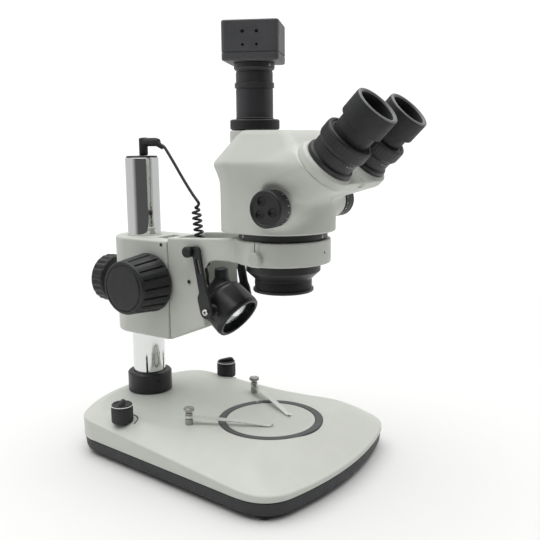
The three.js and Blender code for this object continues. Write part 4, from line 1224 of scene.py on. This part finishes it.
def make_objective():
    low = extent("objective_barrel")[0]
    ring = pivot("head_turn")
    place = moved(0, ring[1], 0)
    bottom, top = low[2], 187.6
    threads = [(24.4 + (0.55 if k % 2 else 0), z) for k, z in enumerate(np.linspace(166.2, 172.2, 13))]
    profile = [(21.4, bottom), (25.9, bottom), (26.3, bottom + 0.6), (26.3, bottom + 2.4),
               (24.3, bottom + 3.1), *threads, (24.4, 172.8), (25.2, 173.6), (31.2, 179.2), (32.1, 180),
               (32.3, 180.6), (32.3, top), (29.4, top), (29.4, 205), (26, 205), (26, 183), (22.4, 176),
               (20.2, 170), (20.2, 167.4), (21.4, 166.4)]
    lathe("objective_mount", profile, 160, SATIN_BLACK, "head", ["objective_barrel"], place, edge=0.22,
          steps=2, closed=True)
    retainer = [(18.3, 165.2), (21.2, 165.2), (21.2, 166.8), (18.3, 166.8)]
    lathe("objective_retainer", retainer, 128, SATIN_BLACK, "head", place=place, edge=0.2, closed=True)
    arc = [(19.9 * t, 164.9 + 1.8 * t * t) for t in np.linspace(0, 1, 14)]
    lens = [*arc, (19.9, 168.4), (0, 168.4)]
    piece("objective_glass", turned(lens, 128), GLASS, "head", ["objective_lens"], place)
    # A black disc across the bore above the lens: painted shade, standing in for the dark inside of the
    # head.
    shade = [(0, 176), (19.9, 176), (19.9, 177), (0, 177)]
    lathe("objective_shade_disc", shade, 96, DEEP_BLACK, "head", place=place, edge=0.2)


def make_zoom():
    zoom = pivot("zoom_turn")
    for side, s in SIDES:
        low, high = extent("zoom_knob_" + side)
        inner, outer = sorted((abs(low[0]), abs(high[0])))
        length = outer - inner
        radius = (high[2] - low[2]) / 2 + 0.2
        ribbed = ribs(60, 0.24, radius - 0.6, 5.2, length - 1.4)
        dimple_ring, dimple_r, dimple_deep, lip_wide = 6.9, 3.7, 2.4, 0.7
        profile = rounded([(0, 0), (radius - 0.6, 0), (radius - 0.2, 0.6), (radius - 0.2, 4.6), (radius, 5),
                           (radius, length - 1.3), (radius - 0.5, length - 0.3), (radius - 1.3, length),
                           (radius - 2.2, length), (radius - 2.8, length - 0.7),
                           (radius - 3.2, length - 0.8)], 0.25)
        profile += [(r, length - 0.8) for r in np.linspace(radius - 3.2, 0, 40)]
        points, faces = turned(profile, 240, ribbed)
        for a in np.radians((30, 129, 250)):
            d = np.hypot(points[:, 0] - dimple_ring * math.cos(a), points[:, 1] - dimple_ring * math.sin(a))
            bowl = np.sqrt(np.clip(1 - (d / dimple_r) ** 2, 0, 1)) ** 0.6
            beyond = (d - dimple_r) / lip_wide
            lip = np.where((beyond >= 0) & (beyond < 1), 0.2 * np.sin(beyond * math.pi), 0)
            on_face = (points[:, 2] > length - 1) & (np.hypot(points[:, 0], points[:, 1]) < radius - 3)
            points[:, 2] += np.where(on_face, lip - dimple_deep * bowl, 0)
        place = facing_x(s, s * inner, zoom[1], zoom[2])
        piece("zoom_grip_" + side, (points, faces), KNOB_BLACK, "zoom", ["zoom_knob_" + side], place,
              sharp=50)
        for k in range(9):
            angle = math.radians(200 + 20 * k)
            outline = box_outline(0.16, 0.8 if k % 2 else 1.3, 0.08, 2)
            mark = loft([level(outline, z) for z in (-0.25, 0.05)])
            at = place @ Matrix.Rotation(angle, 4, "Z") @ moved(radius - 0.2, 0, 2.6)
            at = at @ Matrix.Rotation(math.pi / 2, 4, "Y") @ Matrix.Rotation(math.pi / 2, 4, "Z")
            piece(f"zoom_mark_{side}_{k}", mark, PRINT_WHITE, "zoom", place=at, weighted=False)


# ---- Eyepieces ----
LEFT_DRAWN = 2.0  # how far the left eyepiece stands out beyond the right one


def make_prisms():
    root = tube_root()
    radius = extent("prism_housing_right")[1][0] - root[0]

    for side, s in SIDES:
        def field(x, y, z, s=s):
            along, up = along_tube(y, z)
            across = x * s
            outline = prism_outline(across, up, root, radius, 0.35)
            plate = np.maximum(both(outline, along, 1.4), -PRISM_DEEP + 0.06 - along)
            seat = both(np.hypot(across - root[0], up) - 22.0, between(along, -3, 0.8), 0.6)
            return smooth_min(plate, seat, 0.8)

        low, high = extent("prism_housing_" + side)
        piece("prism_casting_" + side, casting(field, low - 1.5, high + 1.5, 0.7), ENAMEL, "prism_" + side,
              ["prism_housing_" + side], weighted=False, sharp=180)


def make_oculars():
    for side, s in SIDES:
        root = tube_root(s)
        place = moved(*root) @ Matrix.Rotation(math.radians(45), 4, "X")
        prism, ring, ocular = "prism_" + side, "diopter_" + side, "ocular_" + side
        fine = ribs(72, 0.22, 18.0, 6.3, 14.0)
        profile = [(15.4, 0.9), (20.2, 0.9), (20.4, 1.5), (20.4, 4.2), (19.8, 5), (18.4, 5.4), (18.4, 6.2),
                   (18.6, 6.4), (18.6, 13.8), (18.3, 14.5), (17, 14.7), (17, 27.2), (15.4, 27.2)]
        lathe("ocular_tube_" + side, profile, 288, SATIN_BLACK, prism, ["eyepiece_tube_" + side], place,
              edge=0.3, closed=True, relief=fine)

        def coarse(angle, r, z):
            band = (r > 20.3) & (z > 18.4) & (z < 25.4)
            wave = np.clip(np.cos(44 * angle) * 1.6, -1, 1)
            return r - np.where(band, 0.16 * (0.5 - 0.5 * wave), 0)

        profile = [(17.4, 15.0), (19.7, 15.0), (20.8, 17.4), (20.9, 18.2), (20.9, 25.6), (20.5, 26.6),
                   (20.5, 27.0), (19.6, 27.8), (17.4, 27.8)]
        lathe("diopter_grip_" + side, profile, 288, KNOB_BLACK, ring, ["diopter_ring_" + side], place,
              edge=0.3, closed=True, relief=coarse)
        for k in range(-3, 4):
            tall = 1.5 if k == 0 else 0.8
            mark = loft([level(box_outline(tall, 0.14, 0.07, 2), z) for z in (-0.2, 0.06)])
            at = place @ Matrix.Rotation(math.radians(-90 + 8 * k), 4, "Z") @ moved(18.5 + 0.03, 0, 12.0)
            at = at @ Matrix.Rotation(math.pi / 2, 4, "Y")
            piece(f"diopter_mark_{side}_{k + 3}", mark, PRINT_WHITE, prism, place=at, weighted=False)

        profile = [(13.6, 7), (15.1, 7), (15.1, 28.2), (15.5, 28.4), (15.6, 36.8), (16.2, 37.4),
                   (18.2, 37.6), (18.6, 38.4), (18.6, 55.4), (18.2, 56.5), (17.2, 57), (16.0, 56.7),
                   (14.9, 55.2), (14.7, 53), (14.7, 46.6), (13.6, 45.8), (13.6, 43), (14.9, 42.4),
                   (14.9, 36), (13.6, 35)]
        drawn = place @ moved(0, 0, LEFT_DRAWN if s < 0 else 0)
        lathe("eyecup_" + side, profile, 160, CUP_RUBBER, ocular, ["eyepiece_" + side], drawn, steps=4,
              closed=True)
        # A lighter, glossier band over the cup's rounded rim: a painted highlight.
        lip = [(18.25, 55.9), (18.45, 56.3), (17.3, 57.1), (15.9, 56.85), (14.95, 55.6), (15.3, 55.4),
               (16.2, 56.1), (17.2, 56.3)]
        lathe("eyecup_rim_highlight_" + side, lip, 160, CUP_RIM_HIGHLIGHT, ocular, place=drawn, edge=0.25, closed=True)
        arc = [(13.4 * t, 42.6 - 2.2 * t * t) for t in np.linspace(0, 1, 12)]
        lens = [(0, 38), (13.4, 38), *arc[::-1]]
        piece("eye_glass_" + side, turned(lens, 96), GLASS, ocular, ["eye_lens_" + side], drawn)
        stop = [(9.5, 20), (13.5, 20), (13.5, 21), (9.5, 21)]
        lathe("field_stop_" + side, stop, 96, DEEP_BLACK, ocular, place=place, edge=0.2, closed=True)
        # A black disc closing the tube below the field stop: painted shade, standing in for the dark inside
        # of the tube.
        shade_disc = [(0, 8), (13.5, 8), (13.5, 9), (0, 9)]
        lathe("tube_shade_disc_" + side, shade_disc, 64, DEEP_BLACK, ocular, place=place, edge=0.2)


# ---- Photo port and camera ----
CAMERA_TURN = math.radians(26.3)


def make_photo_port():
    port = pivot("camera_turn")
    place = moved(0, port[1], 0)
    low, high = extent("port_collar")
    radius = (high[0] - low[0]) / 2
    knurl = ribs(80, 0.25, radius - 0.5, low[2] + 1.5, high[2] - 1.5)
    profile = [(13.2, low[2]), (radius - 1.6, low[2]), (radius - 0.3, low[2] + 1.0), (radius, low[2] + 1.4),
               (radius, high[2] - 1.4), (radius - 0.4, high[2] - 0.5), (radius - 1.2, high[2]),
               (13.2, high[2])]
    lathe("port_ring", profile, 320, SATIN_BLACK, "port_lock", ["port_collar"], place, edge=0.3, closed=True,
           relief=knurl)
    t_low, t_high = extent("photo_tube")
    b, t = t_low[2], t_high[2]
    barrel = [(13.2, b), (16.1, b), (16.1, b + 0.8), (15.8, b + 1.2), (15.8, b + 24.6), (15.55, b + 24.9),
              (15.55, b + 25.5), (16.8, b + 25.8), (16.8, b + 29.9), (15.7, b + 30.3), (15.7, t - 7.6),
              (15.3, t - 7.2), (15.3, t - 6.2), (16.4, t - 5.6), (17.1, t - 4.6), (17.3, t - 3.8), (17.3, t),
               (13.2, t)]
    lathe("photo_barrel", barrel, 160, TUBE_BLACK, "camera", ["photo_tube"], place, edge=0.25, closed=True)
    angle = math.radians(-97)
    away = Vector((math.cos(angle), math.sin(angle), 0))
    recess_screw("mount_screw", away * 17.1 + Vector((0, port[1], t - 2.2)), away, 1.0, "camera")


def make_camera_body():
    port = pivot("camera_turn")
    low, high = extent("camera_body")
    place = moved(0, port[1], 0) @ Matrix.Rotation(CAMERA_TURN, 4, "Z")
    half = (high[0] - low[0]) / 2 / (math.cos(CAMERA_TURN) + math.sin(CAMERA_TURN)) + 0.55
    outline = box_outline(half, half, 3.6, 8)
    bottom, top = low[2], high[2]
    seam = bottom + 6.7
    levels = [(bottom, 1.6), (bottom + 0.3, 0.9), (bottom + 1.0, 0.2), (bottom + 1.8, 0), (seam - 0.55, 0),
              (seam - 0.35, 0.15), (seam - 0.3, 0.8), (seam + 0.3, 0.8), (seam + 0.35, 0.15),
              (seam + 0.55, 0), (top - 1.4, 0), (top - 0.75, 0.2), (top - 0.25, 0.7), (top, 1.5)]
    made = piece("camera_case", loft([level(shrink(outline, d), z) for z, d in levels]), CAMERA_BLACK,
                 "camera", ["camera_body"], place)
    holes = []
    for x in (-5.8, 5.8):
        for z in (bottom + 12.5, bottom + 23):
            holes.append((rod(1.15 if z < bottom + 20 else 1.45, -3, 3, 32, 0.05),
                          place @ aim((-half, x, z), (-1, 0, 0))))
    port_hole = loft([level(box_outline(4.2, 1.6, 1.2, 4), z) for z in (-4.0, 3.0)])
    at = place @ aim((half, 0, bottom + 20), (1, 0, 0)) @ Matrix.Rotation(math.pi / 2, 4, "Z")
    holes.append((port_hole, at))
    carve(made, *holes)
    for k, (x, y) in enumerate(((1, 1), (-1, 1), (-1, -1), (1, -1))):
        at = place @ Vector((x * (half - 5), y * (half - 5), top - 0.55))
        recess_screw(f"camera_screw_{k}", at, (0, 0, 1), 1.5, "camera", SATIN_BLACK)


# ---- Studio ----
FLOOR_RADIUS = 0.85


def make_floor():
    """A round pale bench top, small enough that the chrome also mirrors the room beyond it."""
    made = bpy.data.materials.new("floor")
    made.use_nodes = True
    shader = made.node_tree.nodes["Principled BSDF"]
    shader.inputs["Base Color"].default_value = (0.74, 0.74, 0.735, 1)
    shader.inputs["Roughness"].default_value = 0.85
    mesh = bpy.data.meshes.new("floor")
    angle = np.linspace(0, 2 * math.pi, 96, endpoint=False)
    ring = FLOOR_RADIUS * np.stack([np.cos(angle), np.sin(angle), 0 * angle], -1)
    mesh.from_pydata(ring.tolist(), [], [tuple(range(96))])
    mesh.materials.append(made)
    floor = bpy.data.objects.new("floor", mesh)
    bpy.context.scene.collection.objects.link(floor)


def soft_box(name, place, aim_at, size, power):
    data = bpy.data.lights.new(name, "AREA")
    data.shape = "RECTANGLE"
    data.size, data.size_y = size
    data.energy = power
    light = bpy.data.objects.new(name, data)
    light.location = place
    light.rotation_mode = "QUATERNION"
    light.rotation_quaternion = (Vector(aim_at) - Vector(place)).to_track_quat("-Z", "Y")
    bpy.context.scene.collection.objects.link(light)


# Soft light all round as (bearing in degrees, strength): dim behind the camera, bright and even elsewhere.
ROOM = ((-180, 0.1), (-90, 0.1), (-60, 0.7), (150, 0.7), (180, 0.1))
OVERHEAD = 2.3  # strength of the light from above


def make_room():
    """A world that lights from the sides and above, and is plain white where the camera sees it."""
    world = bpy.data.worlds.new("studio")
    world.use_nodes = True
    tree = world.node_tree
    place = node_of(tree, "ShaderNodeTexCoord")
    parts = node_of(tree, "ShaderNodeSeparateXYZ")
    tree.links.new(place.outputs["Generated"], parts.inputs["Vector"])
    bearing = node_of(tree, "ShaderNodeMath")
    bearing.operation = "ARCTAN2"
    tree.links.new(parts.outputs["Y"], bearing.inputs[0])
    tree.links.new(parts.outputs["X"], bearing.inputs[1])
    share = node_of(tree, "ShaderNodeMapRange")
    share.inputs["From Min"].default_value = -math.pi
    share.inputs["From Max"].default_value = math.pi
    tree.links.new(bearing.outputs[0], share.inputs["Value"])
    ring = node_of(tree, "ShaderNodeValToRGB").color_ramp
    ramp = tree.nodes[-1]
    for k, (turn, strength) in enumerate(ROOM):
        at = (turn + 180) / 360
        at_end = k in (0, len(ROOM) - 1)
        stop = ring.elements[-1 if k else 0] if at_end else ring.elements.new(at)
        stop.position = at
        stop.color = (strength, strength, strength, 1)
    tree.links.new(share.outputs["Result"], ramp.inputs["Fac"])
    above = node_of(tree, "ShaderNodeMapRange")
    above.inputs["From Min"].default_value = 0.62
    above.inputs["From Max"].default_value = 0.86
    tree.links.new(parts.outputs["Z"], above.inputs["Value"])
    mix = node_of(tree, "ShaderNodeMix")
    mix.data_type = "RGBA"
    tree.links.new(above.outputs["Result"], mix.inputs["Factor"])
    tree.links.new(ramp.outputs["Color"], mix.inputs[6])
    mix.inputs[7].default_value = (OVERHEAD, OVERHEAD, 0.99 * OVERHEAD, 1)
    light = tree.nodes["Background"]
    light.inputs["Strength"].default_value = 1.0
    tree.links.new(mix.outputs[2], light.inputs["Color"])
    backdrop = node_of(tree, "ShaderNodeBackground", Color=(1, 1, 0.995, 1), Strength=1.1)
    path = node_of(tree, "ShaderNodeLightPath")
    choose = node_of(tree, "ShaderNodeMixShader")
    tree.links.new(path.outputs["Is Camera Ray"], choose.inputs["Fac"])
    tree.links.new(light.outputs[0], choose.inputs[1])
    tree.links.new(backdrop.outputs[0], choose.inputs[2])
    tree.links.new(choose.outputs[0], tree.nodes["World Output"].inputs["Surface"])
    bpy.context.scene.world = world


def make_studio():
    make_room()
    make_floor()
    soft_box("top_light", (-0.2, 0.1, 1.5), (0, 0, 0.2), (1.2, 1.2), 3)
    bpy.context.scene.view_settings.view_transform = "Standard"


make_camera()
make_cord()
make_shell()
make_pan()
make_feet()
make_inlet()
make_stage()
make_clips()
make_dimmers()
make_pillar()
make_focus_block()
make_focus_knobs()
make_clamp()
make_arm()
make_lamp_yoke()
make_lamp()
make_head()
make_objective()
make_zoom()
make_prisms()
make_oculars()
make_photo_port()
make_camera_body()
make_studio()
